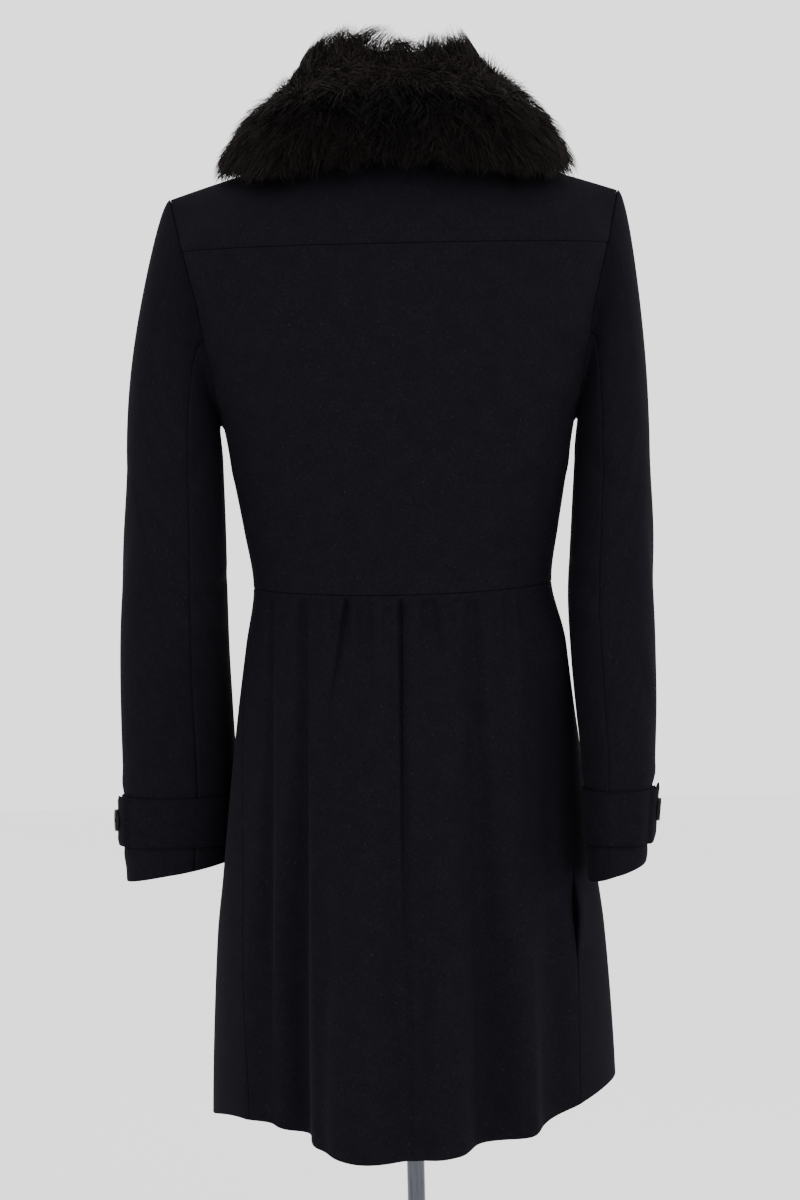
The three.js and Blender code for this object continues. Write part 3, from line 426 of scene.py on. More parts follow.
class Finish:
    # one material with its shader at hand
    def __init__(self, name, colour, roughness, **extra):
        self.material = bpy.data.materials.new(name)
        self.material.use_nodes = True
        self.tree = self.material.node_tree
        self.shader = self.tree.nodes["Principled BSDF"]
        self.shader.inputs["Base Color"].default_value = (*colour, 1)
        self.shader.inputs["Roughness"].default_value = roughness
        for socket, value in extra.items():
            self.shader.inputs[socket.replace("_", " ")].default_value = value

    def place(self, uvMap=None):
        if uvMap:
            node = self.tree.nodes.new("ShaderNodeUVMap")
            node.uv_map = uvMap
            return node.outputs["UV"]
        return self.tree.nodes.new("ShaderNodeTexCoord").outputs["Object"]

    def ramp(self, factor, stops, socket="Base Color"):
        node = self.tree.nodes.new("ShaderNodeValToRGB")
        while len(node.color_ramp.elements) < len(stops):
            node.color_ramp.elements.new(0.5)
        for element, (position, value) in zip(node.color_ramp.elements, stops):
            element.position = position
            element.color = (value, value, value, 1) if isinstance(value, float) else (*value, 1)
        self.tree.links.new(factor, node.inputs["Fac"])
        if socket:
            self.tree.links.new(node.outputs["Color"], self.shader.inputs[socket])
        return node.outputs["Color"]

    def blend(self, first, second, kind="MIX"):
        # mixes into the base colour; the second is a socket or a plain colour
        node = self.tree.nodes.new("ShaderNodeMixRGB")
        node.blend_type = kind
        node.inputs["Fac"].default_value = 1
        self.tree.links.new(first, node.inputs["Color1"])
        if isinstance(second, tuple):
            node.inputs["Color2"].default_value = (*second, 1)
        else:
            self.tree.links.new(second, node.inputs["Color2"])
        self.tree.links.new(node.outputs[0], self.shader.inputs["Base Color"])
        return node.inputs["Fac"]

    def bump(self, height, strength, distance):
        node = self.tree.nodes.new("ShaderNodeBump")
        node.inputs["Strength"].default_value = strength
        node.inputs["Distance"].default_value = distance
        self.tree.links.new(height, node.inputs["Height"])
        self.tree.links.new(node.outputs["Normal"], self.shader.inputs["Normal"])

    def group(self, group, place, **values):
        node = self.tree.nodes.new("ShaderNodeGroup")
        node.node_tree = group
        self.tree.links.new(place, node.inputs["place"])
        for socket, value in values.items():
            node.inputs[socket].default_value = value
        return node


woolLook = {
    "dark": (0.0034, 0.0031, 0.0044), "mid": (0.0047, 0.0043, 0.0060), "pale": (0.0070, 0.0065, 0.0088),
    "lint": (0.02, 0.019, 0.025), "sheen": 0.014, "sheenRough": 0.38, "sheenTint": (0.66, 0.61, 0.8, 1),
}


def woolFinish(name, lift=1.0):
    raised = lambda colour: tuple(lift * c for c in colour)
    finish = Finish(name, raised(woolLook["mid"]), 0.88, Sheen_Weight=woolLook["sheen"],
                    Sheen_Roughness=woolLook["sheenRough"], Sheen_Tint=woolLook["sheenTint"],
                    Specular_IOR_Level=0.008)
    nap = finish.group(napGroup, finish.place(uvMap="cloth"), fibres=820.0, blotches=55.0, specks=0.795)
    tones = [(0.3, "dark"), (0.5, "mid"), (0.72, "pale")]
    colour = finish.ramp(nap.outputs["tone"], [(at, raised(woolLook[tone])) for at, tone in tones], None)
    lintShare = addMath(finish.tree, "MULTIPLY", nap.outputs["lint"], 0.3)
    finish.tree.links.new(lintShare, finish.blend(colour, woolLook["lint"]))
    finish.ramp(nap.outputs["tone"], [(0.3, 0.8), (0.7, 0.95)], "Roughness")
    finish.bump(nap.outputs["height"], 0.45, 0.0012)
    return finish.material


wool = woolFinish("meltonWool")
strapWool = woolFinish("strapWool", 0.95)


def plainNap(name, colour, roughness, fibres, **extra):
    # a small thing of thread or linen, on its own Object coordinates
    finish = Finish(name, colour, roughness, **extra)
    nap = finish.group(napGroup, finish.place(), fibres=fibres, blotches=fibres / 12, specks=2.0)
    dark, pale = (tuple(share * c for c in colour) for share in (0.72, 1.3))
    finish.ramp(nap.outputs["tone"], [(0.3, dark), (0.7, pale)])
    finish.bump(nap.outputs["height"], 0.4, 0.0006)
    return finish.material


thread = plainNap("seamThread", (0.0048, 0.0045, 0.0064), 0.75, 1600.0, Specular_IOR_Level=0.04)
linen = plainNap("formLinen", (0.50, 0.43, 0.33), 0.86, 700.0, Sheen_Weight=0.2)
furSkin = plainNap("furUndercoat", (0.0022, 0.0015, 0.0014), 0.9, 260.0, Specular_IOR_Level=0.05)


def furFinish():
    # black at the roots and brown at the tips; the hair map's first coordinate brings in random tone and painted
    # light, paler on the flanks and top, with painted shade darker in the thick middle of the collar
    finish = Finish("furHair", (0.006, 0.0045, 0.0042), 0.5, Specular_IOR_Level=0.08, Sheen_Weight=0.03,
                    Sheen_Tint=(0.9, 0.72, 0.66, 1))
    split = finish.tree.nodes.new("ShaderNodeSeparateXYZ")
    finish.tree.links.new(finish.place(uvMap="hair"), split.inputs[0])
    along = finish.ramp(split.outputs["Y"], [
        (0.0, (0.0016, 0.0011, 0.0010)), (0.45, (0.0032, 0.0022, 0.0020)), (0.8, (0.0062, 0.0042, 0.0038)),
        (1.0, (0.0105, 0.0072, 0.0067))], None)
    # random tone together with the painted highlight and painted shade of the collar's flanks, top and lower edge
    tone = finish.ramp(split.outputs["X"], [(0.0, 0.22), (0.5, 0.5), (1.0, 1.0)], None)
    finish.blend(along, tone, "MULTIPLY")
    finish.ramp(split.outputs["X"], [(0.0, 0.45), (1.0, 0.62)], "Roughness")
    return finish.material


def steelFinish():
    finish = Finish("satinSteel", (0.10, 0.10, 0.12), 0.3, Metallic=1.0)
    lines = finish.group(streakGroup, addStretch(finish.tree, finish.place(), (1, 1, 0.04)), fineness=700.0)
    finish.ramp(lines.outputs["streak"], [(0.25, (0.042, 0.043, 0.052)), (0.75, (0.088, 0.088, 0.103))])
    finish.ramp(lines.outputs["wander"], [(0.3, 0.27), (0.7, 0.33)], "Roughness")
    finish.bump(lines.outputs["streak"], 0.03, 0.0002)
    return finish.material


def woodFinish():
    finish = Finish("capWood", (0.17, 0.08, 0.04), 0.36, Coat_Weight=0.35)
    grain = finish.group(streakGroup, addStretch(finish.tree, finish.place(), (1, 0.12, 1)), fineness=260.0)
    finish.ramp(grain.outputs["streak"], [(0.3, (0.09, 0.04, 0.02)), (0.7, (0.24, 0.12, 0.06))])
    finish.bump(grain.outputs["streak"], 0.15, 0.0004)
    return finish.material


def hornFinish():
    finish = Finish("polishedHorn", (0.006, 0.0055, 0.0065), 0.4, Coat_Weight=0.02, Coat_Roughness=0.2,
                    Specular_IOR_Level=0.07)
    clouds = finish.group(streakGroup, addStretch(finish.tree, finish.place(), (1, 1, 0.4)), fineness=180.0)
    finish.ramp(clouds.outputs["streak"], [(0.35, (0.0045, 0.004, 0.005)), (0.62, (0.007, 0.0063, 0.007)),
                                           (0.78, (0.016, 0.013, 0.011))])
    finish.ramp(clouds.outputs["wander"], [(0.3, 0.34), (0.7, 0.46)], "Roughness")
    return finish.material


def floorFinish():
    finish = Finish("paleFloor", (0.93, 0.93, 0.93), 0.75)
    slow = addNoise(finish.tree, finish.place(), 0.8, 2.0)
    finish.ramp(slow, [(0.3, (0.92, 0.92, 0.925)), (0.7, (0.94, 0.94, 0.94))])
    return finish.material


fur = furFinish()
steel = steelFinish()
wood = woodFinish()
horn = hornFinish()
makeStudio().data.materials.append(floorFinish())
print("camera, light and materials made")


# pieces and cloth
def linked(name, mesh):
    piece = bpy.data.objects.new(name, mesh)
    bpy.context.scene.collection.objects.link(piece)
    return piece


def declare(piece, slotName, nodes=()):
    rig.ride(piece, "root")
    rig.slot(piece, slotName)
    if nodes:
        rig.replaces(piece, *nodes)
    return piece


def onlySelect(piece):
    bpy.ops.object.select_all(action="DESELECT")
    piece.select_set(True)
    bpy.context.view_layer.objects.active = piece


def editWhole(piece, *steps):
    # mesh operators with their settings, each on the whole mesh
    onlySelect(piece)
    bpy.ops.object.mode_set(mode="EDIT")
    for operator, settings in steps:
        bpy.ops.mesh.select_all(action="SELECT")
        operator(**settings)
    bpy.ops.object.mode_set(mode="OBJECT")


def softenEdges(piece, width, limit):
    bevel = piece.modifiers.new("softEdge", "BEVEL")
    bevel.width = width
    bevel.segments = 3
    bevel.limit_method = "ANGLE"
    bevel.angle_limit = math.radians(limit)
    bpy.ops.object.modifier_apply(modifier="softEdge")


def newPiece(name, points, faces, material, slotName, nodes=(), uv=None, uvName="cloth"):
    mesh = bpy.data.meshes.new(name)
    faces = faces if isinstance(faces, list) else faces.tolist()
    mesh.from_pydata((np.asarray(points) / 1000).tolist(), [], faces)
    mesh.polygons.foreach_set("use_smooth", np.ones(len(mesh.polygons), bool))
    if uv is not None:
        layer = mesh.uv_layers.new(name=uvName)
        corner = np.empty(len(mesh.loops), int)
        mesh.loops.foreach_get("vertex_index", corner)
        layer.data.foreach_set("uv", np.asarray(uv, float)[corner].ravel())
    mesh.materials.append(material)
    mesh.update()
    return declare(linked(name, mesh), slotName, nodes)


def gridFaces(rows, columns, start=0, flip=False):
    i, j = np.meshgrid(np.arange(rows - 1), np.arange(columns - 1), indexing="ij")
    a = start + i * columns + j
    quads = np.stack([a, a + 1, a + columns + 1, a + columns], axis=-1).reshape(-1, 4)
    return quads[:, ::-1] if flip else quads


def shellFaces(rows, columns, flip):
    # outer and inner grids of the same size and the rim between them
    count = rows * columns
    faces = [gridFaces(rows, columns, 0, flip), gridFaces(rows, columns, count, not flip)]
    rims = [np.arange(columns), np.arange(rows) * columns + columns - 1,
            np.arange(count - 1, count - columns - 1, -1), np.arange(rows - 1, -1, -1) * columns]
    for rim in rims:
        a, b = rim[:-1], rim[1:]
        rimFaces = np.stack([b, a, a + count, b + count], axis=-1)
        faces.append(rimFaces[:, ::-1] if flip else rimFaces)
    return np.concatenate(faces)


cloth = {"thick": 2.6, "turned": 0.8, "turnedReach": 2.0, "lip": 0.14}
sheets = {}


def makeCloth(name, grid, inside, nodes, cut, thick=None, turned=None, material=None, normals=None):
    # a panel as a thin shell, its edges turned in; cut is width, length and area in metres
    thick = cloth["thick"] if thick is None else thick
    turned = cloth["turned"] if turned is None else turned
    normal = gridNormals(grid, inside) if normals is None else normals
    across, down = runLength(grid, 1), runLength(grid, 0)
    away = np.minimum.reduce([across, across[:, -1:] - across, down, down[-1:] - down])
    lean = 1 - np.clip(away / cloth["turnedReach"], 0, 1)
    outer = grid - normal * (turned * (1 - np.sqrt(1 - np.minimum(lean, 0.999) ** 2)))[..., None]
    inner = grid - normal * thick
    # the inner lips of two panels all but meet, so nothing behind shines through their seam
    spread = np.zeros_like(inner)
    spread[0] += unit(inner[0] - inner[1])
    spread[-1] += unit(inner[-1] - inner[-2])
    spread[:, 0] += unit(inner[:, 0] - inner[:, 1])
    spread[:, -1] += unit(inner[:, -1] - inner[:, -2])
    inner = inner + cloth["lip"] * spread
    rows, columns = grid.shape[:2]
    facing = np.cross(grid[1:, :-1] - grid[:-1, :-1], grid[:-1, 1:] - grid[:-1, :-1])
    flip = np.median((facing * normal[:-1, :-1]).sum(-1)) > 0
    middle = across[:, columns // 2][:, None]
    uv = np.stack([(across - middle) / 1000, down / 1000], axis=-1).reshape(-1, 2)
    piece = newPiece(name, np.concatenate([outer.reshape(-1, 3), inner.reshape(-1, 3)]),
                     shellFaces(rows, columns, flip), material or wool, "wool", nodes, np.concatenate([uv, uv]))
    width, length = float(across[:, -1].max()) / 1000, float(down[-1].max()) / 1000
    area = float(np.linalg.norm(facing, axis=-1).sum()) / 1e6
    print("cloth %s: %.3f x %.3f m, %.4f m2, cut %s" % (name, width, length, area, cut))
    sheets[name] = {"piece": piece, "cut": cut, "with": []}
    return piece, outer, normal


# the body of the coat, as the cut and the form give it
body = {
    "z": (500, 600, 700, 750, 850, 906, 960, 1010, 1060, 1110, 1152, 1190, 1230, 1262, 1290, 1311),
    "half": (183, 180, 174, 168, 157, 150, 142, 134, 141, 150, 157, 167, 176, 182, 189, 194),
    "back": (168, 160, 149, 142, 128, 118, 106, 92, 96, 102, 107, 109, 110, 109, 107, 104),
    "front": (170, 162, 150, 142, 128, 120, 112, 104, 116, 130, 138, 137, 131, 124, 118, 114),
    "backBow": (1.2, 1.18, 1.14, 1.12, 1.05, 1, 0.95, 0.92, 0.88, 0.84, 0.8, 0.77, 0.75, 0.75, 0.75, 0.75),
    "frontBow": (1.05, 1.03, 1, 1, 0.98, 0.96, 0.94, 0.92, 0.88, 0.86, 0.84, 0.82, 0.8, 0.8, 0.8, 0.8),
}
sideSeam = {"z": (500, 600, 750, 900, 1010, 1100, 1152), "angle": (56, 57, 62, 74, 86, 90, 90)}
armhole = {"z": (1152, 1176, 1200, 1230, 1311), "back": (90, 80, 76, 75, 75), "front": (90, 78, 74, 72, 72)}
hem = {
    "angle": (-180, -120, -90, -60, -40, -20, 0, 20, 40, 60, 90, 120, 180),
    "z": (548, 562, 566, 558, 541, 533, 529, 530, 540, 549, 539, 541, 548),
}
seams = {"gap": 0.3, "waistBack": 1005, "waistSideRise": 5, "underarm": 1152, "yoke": 1311, "break": 1215,
         "waistEased": 1030, "yokeStitch": 11.5, "lapHalf": 28, "lapStep": 4, "lapStart": -62, "lapRise": 18}
shoulder = {"tip": (201, 0, 1361), "neckShare": 0.4, "neckHalf": 80, "neckBack": 61, "neckFront": 62,
            "neckY": -5, "neckZ": 1396, "backRise": 4, "frontDrop": 22}


def bodyPoint(angle, z, inset=0.0):
    turn = np.radians(angle)
    isBack = np.cos(turn) >= 0
    power = np.where(isBack, readTable(body, "z", z, "backBow"), readTable(body, "z", z, "frontBow"))
    half = readTable(body, "z", z, "half") - inset
    depth = np.where(isBack, readTable(body, "z", z, "back"), readTable(body, "z", z, "front")) - inset
    return stack(half * bow(np.sin(turn), power), depth * bow(np.cos(turn), power), z)


def angleAtX(face, x, z):
    share = np.minimum(0.999, np.abs(x) / readTable(body, "z", z, "half"))
    angle = np.degrees(np.arcsin(share ** (1 / readTable(body, "z", z, face + "Bow")))) * np.where(x < 0, -1, 1)
    return angle if face == "back" else 180 - angle


def waistZ(angle):
    return seams["waistBack"] + seams["waistSideRise"] * np.sin(np.radians(angle)) ** 2


def hemZ(angle):
    return readTable(hem, "angle", wrapAngle(angle), "z")


def sideAngle(face, z):
    seam = readTable(sideSeam, "z", z, "angle")
    below = seam if face == "back" else 180 - seam
    return np.where(np.asarray(z) > seams["underarm"], readTable(armhole, "z", z, face), below)


def faceAngle(face, share, z):
    turned = share * sideAngle(face, z)
    return turned if face == "back" else 180 - turned


def topPoint(face, share):
    across, side = np.abs(share), np.where(share < 0, -1, 1)
    out = (across - shoulder["neckShare"]) / (1 - shoulder["neckShare"])
    tip = shoulder["tip"]
    ridge = stack(side * mix(shoulder["neckHalf"], tip[0], out), mix(shoulder["neckY"], tip[1], out),
                  mix(shoulder["neckZ"], tip[2], out) + 1.6 * np.sin(np.pi * out))
    turn = np.radians(90 * share / shoulder["neckShare"])
    depth = shoulder["neckBack"] if face == "back" else -shoulder["neckFront"]
    rise = shoulder["backRise"] if face == "back" else -shoulder["frontDrop"]
    neck = stack(shoulder["neckHalf"] * np.sin(turn), shoulder["neckY"] + depth * np.cos(turn),
                 shoulder["neckZ"] + rise * np.cos(turn))
    return np.where((across > shoulder["neckShare"])[..., None], ridge, neck)


def upperPoint(face, across, up):
    # shoulders: a share across and a share up from the yoke seam or the collar's break
    across, up = np.broadcast_arrays(np.asarray(across, float), np.asarray(up, float))
    foot = float(seams["yoke"] if face == "back" else seams["break"])
    start = bodyPoint(faceAngle(face, across, foot), foot)
    below = bodyPoint(faceAngle(face, across, foot - 6), foot - 6)
    end = topPoint(face, across)
    rise = (end[..., 2] - start[..., 2])[..., None]
    first = start + (start - below) * 0.34 * rise / 6
    last = stack(end[..., 0] + 0.08 * (start[..., 0] - end[..., 0]),
                 end[..., 1] + 0.48 * (start[..., 1] - end[..., 1]), end[..., 2] - 0.1 * rise[..., 0])
    return bezier(start, first, last, end, up[..., None])


def waistEased(level, angle):
    # levels from the waist seam's own height up to where they run straight
    foot, straight = waistZ(angle) + seams["gap"] / 2, seams["waistEased"]
    span = straight - seams["waistBack"]
    return np.where(level < straight, foot + (level - seams["waistBack"]) * (straight - foot) / span, level)


def bodicePoint(face, share, level):
    z = waistEased(level, faceAngle(face, share, level))
    return bodyPoint(faceAngle(face, share, z), z)


bodiceLook = {
    "columns": 100, "lowRows": 34, "highRows": 38, "frontColumns": 62, "frontRows": 18, "frontUps": 40,
    # heights and the share up at which a panel's columns are evenly spaced
    "evenAt": {"back": 1200.0, "front": 1180.0, "yoke": 0.3},
    "yokeUps": (0.0015, 0.006, 0.014, 0.024, 0.04, *np.linspace(0.06, 0.97, 26), 0.982, 0.992, 1),
    # the band below the yoke's stitches: lift, start, fade, end, fade; and how the stitches press it in
    "band": (0.55, 0.8, 2.4, 13.5, 2.5), "press": (0.45, 1.1),
    "wave": 0.5, "waveSize": (90, 90, 130),
    # where on the back, slant in degrees, half length, half width and depth
    "backCreases": [
        (158, 1208, -38, 62, 9, 1.5), (-158, 1212, 36, 66, 9, 1.6), (150, 1172, -22, 58, 8, 1.2),
        (-150, 1168, 24, 52, 8, 1.3), (92, 1046, 8, 60, 8, 1.0), (-84, 1040, -10, 66, 8, 1.1),
        (20, 1070, 4, 52, 10, 0.7), (-40, 1260, 2, 80, 14, 0.6), (128, 1110, -30, 44, 9, 1.1),
        (-130, 1104, 28, 46, 9, 1.1), (60, 1180, -14, 70, 16, 0.6), (-20, 1130, 10, 74, 16, 0.6),
    ],
    "frontCreases": [
        (150, 1190, 40, 60, 9, 1.6), (-150, 1192, -38, 60, 9, 1.6), (110, 1040, -14, 52, 8, 1.1),
        (-104, 1036, 12, 56, 8, 1.1), (70, 1110, 55, 70, 13, 1.0), (-70, 1112, -55, 66, 13, 1.0),
    ],
    "yokeCut": (0.475, 0.141, 0.047), "backCut": (0.435, 0.321, 0.122), "frontCut": (0.269, 0.483, 0.084),
}
middleOfBody = np.array([0.0, 0.0, 1150.0])
middleOfSkirt = np.array([0.0, 0.0, 750.0])


def lapOut(side, x):
    # how far the right front stands out over the left one
    return seams["lapStep"] * ease((x - seams["lapStart"]) / seams["lapRise"]) if side < 0 else 0 * x


def makeBackBodice():
    look = bodiceLook
    evenAt = look["evenAt"]["back"]
    share = 2 * evenSteps(lambda t: bodicePoint("back", 2 * t - 1, evenAt + 0 * t), look["columns"]) - 1
    low = np.linspace(seams["waistBack"], seams["underarm"], look["lowRows"])
    high = np.linspace(seams["underarm"], seams["yoke"] - seams["gap"] / 2, look["highRows"])[1:]
    level = np.sort(np.concatenate([low, high, low[0] + edgeSteps, high[-1] - edgeSteps]))
    grid = bodicePoint("back", share[None, :], level[:, None])
    normal = gridNormals(grid, middleOfBody)
    out = creaseOut(grid[..., 0], grid[..., 2], look["backCreases"])
    out = out + look["wave"] * softNoise(grid, look["waveSize"], 3)
    settle = ease((level[:, None] - level[0]) / 12) * ease((level[-1] - level[:, None]) / 10)
    settle = settle * ease((1 - np.abs(share[None, :])) * 190 / 10)
    grid = grid + normal * (out * settle)[..., None]
    return grid, level


def makeYoke():
    look = bodiceLook
    evenAt = look["evenAt"]["yoke"]
    share = 2 * evenSteps(lambda t: upperPoint("back", 2 * t - 1, evenAt + 0 * t), look["columns"]) - 1
    grid = upperPoint("back", share[None, :], np.array(look["yokeUps"])[:, None])
    normal = gridNormals(grid, middleOfBody)
    run = runLength(grid, 0)
    # the seam allowance under the topstitching lifts a narrow band, and the stitches press it in
    lift, first, firstFade, last, lastFade = look["band"]
    band = lift * ease((last - run) / lastFade) * ease((run - first) / firstFade)
    pressed = -look["press"][0] * bell(run - seams["yokeStitch"], look["press"][1])
    grid = grid + normal * (band + pressed)[..., None]
    onRidge = np.abs(share) > shoulder["neckShare"] - 0.01
    grid[-1, onRidge, 1] += seams["gap"] / 2
    return grid


def frontEdgeShare(side, z, up):
    low = (180 - angleAtX("front", -side * seams["lapHalf"] + 0 * z, z)) / sideAngle("front", z)
    return mix(low, side * shoulder["neckShare"], up) * side


def makeFront(side):
    look = bodiceLook
    low = np.linspace(seams["waistBack"], seams["underarm"], look["lowRows"])
    high = np.linspace(seams["underarm"], seams["break"], look["frontRows"])[1:]
    level = np.sort(np.concatenate([low, high, low[0] + edgeSteps]))
    ups = np.concatenate([np.linspace(0, 0.98, look["frontUps"])[1:], [0.986, 0.993, 1]])

    def lowPoint(t, z):
        across = side * mix(1, frontEdgeShare(side, z, 0), t)
        return bodicePoint("front", across, z + 0 * across)
    share = evenSteps(lambda t: lowPoint(t, look["evenAt"]["front"] + 0 * t), look["frontColumns"])
    lower = lowPoint(share[None, :], level[:, None])
    u = ups[:, None]
    highAcross = side * mix(1, frontEdgeShare(side, np.full_like(u, seams["break"]), u), share[None, :])
    upper = upperPoint("front", highAcross, u)
    grid = np.concatenate([lower, upper])
    normal = gridNormals(grid, middleOfBody)
    out = creaseOut(grid[..., 0], grid[..., 2], look["frontCreases"])
    out = out + look["wave"] * softNoise(grid, look["waveSize"], 5)
    rows = np.arange(len(grid))[:, None]
    settle = ease(rows / 6) * ease((len(grid) - 1 - rows) / 5) * ease(share[None, :] * 150 / 10)
    settle = settle * ease((np.abs(grid[..., 0]) - 40) / 20)
    grid = grid + normal * (out * settle + lapOut(side, grid[..., 0]))[..., None]
    grid[-1, :, 1] -= seams["gap"] / 2
    return grid, level


# the skirt's pleats, gathers and folds
skirt = {
    "columns": 186, "frontColumns": 70, "rows": 112, "pleatStep": 0.0016,
    # face, X at the top and the foot, top, foot, out at the top and the foot, half widths
    "folds": [
        ("back", 5, 9, 1005, 620, -4, -2, 8, 18), ("back", 24, 43, 1005, 531, 3, 22, 14, 46),
        ("back", 51, 74, 1003, 880, -4, -2, 7, 12), ("back", 34, 36, 1000, 930, -3.5, 0, 6, 8),
        ("back", 66, 70, 1000, 930, 3, 0, 7, 9), ("back", 88, 109, 1000, 540, -6, -25, 9, 28),
        ("back", 118, 134, 985, 540, -4, -13, 8, 22), ("back", -22, -26, 1000, 930, -4, 0, 7, 9),
        ("back", -32, -24, 990, 540, 0, 9, 12, 28), ("back", -61, -68, 1000, 540, -6, -20, 11, 34),
        ("back", -92, -96, 998, 900, -4, 0, 8, 11), ("back", -133, -150, 1003, 830, 8, 0, 44, 40),
        ("back", -124, -126, 960, 540, 0, -9, 12, 32), ("front", 48, 62, 1000, 540, -4, -16, 9, 26),
        ("front", 78, 104, 995, 545, 3, 14, 11, 30), ("front", 104, 140, 998, 545, -5, -24, 9, 26),
        ("front", -52, -70, 1000, 545, -4, -20, 9, 28), ("front", -84, -112, 996, 550, 3, 12, 11, 28),
        ("front", -110, -146, 990, 550, -4, -22, 9, 26),
        # small gathers that only the cloth shows
        ("back", 14, 15, 1005, 915, -3.4, 0, 4, 7), ("back", 42, 45, 1005, 925, 3.4, 0, 4, 7),
        ("back", 78, 82, 1005, 945, 2.2, 0, 5, 8), ("back", 100, 106, 1005, 950, 1.8, 0, 6, 8),
        ("back", 58, 63, 1005, 930, -2.6, 0, 4, 7), ("back", 29, 30, 1005, 905, -3.4, 0, 4, 8),
        ("back", -10, -10, 1005, 968, 1.6, 0, 5, 6), ("back", -27, -30, 1005, 905, -3.2, 0, 4, 9),
        ("back", -36, -39, 1005, 925, 2.8, 0, 5, 9), ("back", -18, -18, 1005, 930, -2.2, 0, 4, 7),
        ("back", -44, -48, 1003, 960, -1.6, 0, 5, 7), ("back", -76, -80, 1003, 950, 1.5, 0, 5, 8),
        ("back", -102, -106, 1004, 960, -1.4, 0, 6, 8), ("back", 60, 70, 860, 560, 1.5, 3, 16, 24),
        ("back", -40, -44, 900, 560, 1.0, 3, 16, 20), ("back", -96, -100, 820, 556, 1.5, 5, 16, 20),
        ("front", 12, 16, 900, 550, 0, 6, 14, 26),
        ("front", -20, -24, 930, 550, 0, 6, 14, 26),
    ],
    # laid pleats, a sharp layer lying over the next: X top and foot, top, foot, lip, spread
    "pleats": [(4, 8, 1006, 640, 3.8, 13), (50, 76, 1006, 858, 3.2, 11)],
    "wave": 0.9, "waveSize": (46, 46, 210),
    "gape": {"z": 722, "half": 30, "reach": 16, "sink": 3.5, "rise": 3.5},
    "backCut": (0.407, 0.491, 0.184), "frontCut": (0.435, 0.475, 0.158),
}


def foldOut(angle, z):
    girth = np.sqrt(readTable(body, "z", z, "half") * readTable(body, "z", z, "back"))
    out = np.zeros(np.broadcast(angle, z).shape)
    for face, topX, footX, top, foot, topOut, footOut, topWide, footWide in skirt["folds"]:
        down = ease((top - z) / (top - foot))
        place = angleAtX(face, mix(topX, footX, down), z)
        wide = mix(topWide, footWide, down)
        away = np.radians(wrapAngle(angle - place)) * girth
        # a broad swell starts more slowly below the waist seam than a sharp gather
        start = ease((waistZ(angle) - z) / max(7, 1.3 * topWide))
        out = out + mix(topOut, footOut, down) * hump(away, wide) * start
    for topX, footX, top, foot, lip, spread in skirt["pleats"]:
        down = np.clip((top - z) / (top - foot), 0, 1)
        place = angleAtX("back", mix(topX, footX, down), z)
        away = np.radians(wrapAngle(angle - place)) * girth
        over = 0.5 * (1 + np.tanh(away / 0.7))
        fade = (1 - ease(down)) * lip
        out = out + fade * (over * np.exp(-np.maximum(away, 0) / spread)
                            - 0.7 * (1 - over) * np.exp(np.minimum(away, 0) / (0.5 * spread)))
        # the dark line where the upper layer's edge lies on the lower one
        out = out - 0.4 * fade * bell(away + 1.0, 0.9)
    # the form lies close below the waist seam
    out = np.maximum(out, -5.2 - 0.1 * np.maximum(waistZ(angle) - z, 0))
    return out * ease((waistZ(angle) - z) / 7)


def skirtPoint(angle, z):
    base = bodyPoint(angle, z)
    near = bodyPoint(angle + 0.5, z) - bodyPoint(angle - 0.5, z)
    outward = unit(stack(near[..., 1], -near[..., 0], 0 * near[..., 0]))
    outward = outward * np.where((outward * base)[..., :2].sum(-1) < 0, -1, 1)[..., None]
    wave = skirt["wave"] * softNoise(base, skirt["waveSize"], 11) * ease((waistZ(angle) - z) / 90)
    return base + outward * (foldOut(angle, z) + wave)[..., None]


def skirtGrid(angleAt, columns, raise_, closer=()):
    def place(share, down):
        z = np.full(np.broadcast(share, down).shape, float(seams["waistBack"]))
        for step in range(3):
            angle = angleAt(share, z)
            z = mix(waistZ(angle) - seams["gap"] / 2, hemZ(angle), down)
        angle = angleAt(share, z)
        return raise_(skirtPoint(angle, z))
    share = evenSteps(lambda t: place(t, 0.35 + 0 * t), columns)
    if len(closer):
        share = np.unique(np.round(np.concatenate([share, closer]), 5))
        share = share[np.concatenate([[True], np.diff(share) > 0.4 * skirt["pleatStep"]])]
        share[-1] = 1
    down = np.concatenate([np.linspace(0, 1, skirt["rows"]), [0.0008, 0.002, 0.004, 0.996, 0.998, 0.9992]])
    return place(share[None, :], np.sort(down)[:, None])


def gaped(grid, out):
    # the right side seam gapes a little
    gape = skirt["gape"]
    near = bell(grid[..., 2] - gape["z"], gape["half"])
    share = out * near * bell(runLength(grid, 1), gape["reach"])
    return grid + unit(grid * np.array([1, 1, 0])) * share[..., None]


def makeBackSkirt():
    closer = []
    for topX, footX, top, foot, lip, spread in skirt["pleats"]:
        down = np.linspace(0, 1, 9)
        z = mix(float(top), float(foot), down)
        at = 0.5 + 0.5 * angleAtX("back", mix(topX, footX, down), z) / sideAngle("back", z)
        edge = 5 * skirt["pleatStep"]
        closer.append(np.arange(at.min() - edge, at.max() + edge, skirt["pleatStep"]))
    grid = skirtGrid(lambda share, z: (2 * share - 1) * sideAngle("back", z), skirt["columns"], lambda at: at,
                     np.concatenate(closer))
    return gaped(grid, -skirt["gape"]["sink"])


def makeFrontSkirt(side):
    def angleAt(share, z):
        edge = angleAtX("front", -side * seams["lapHalf"] + 0 * z, z) - (0 if side > 0 else 360)
        return mix(side * sideAngle("back", z), edge, share)

    def raised(at):
        outward = unit(at * np.array([1, 1, 0]))
        return at + outward * np.where(at[..., 1] < 0, lapOut(side, at[..., 0]), 0)[..., None]
    grid = skirtGrid(angleAt, skirt["frontColumns"], raised)
    return grid if side > 0 else gaped(grid, skirt["gape"]["rise"])


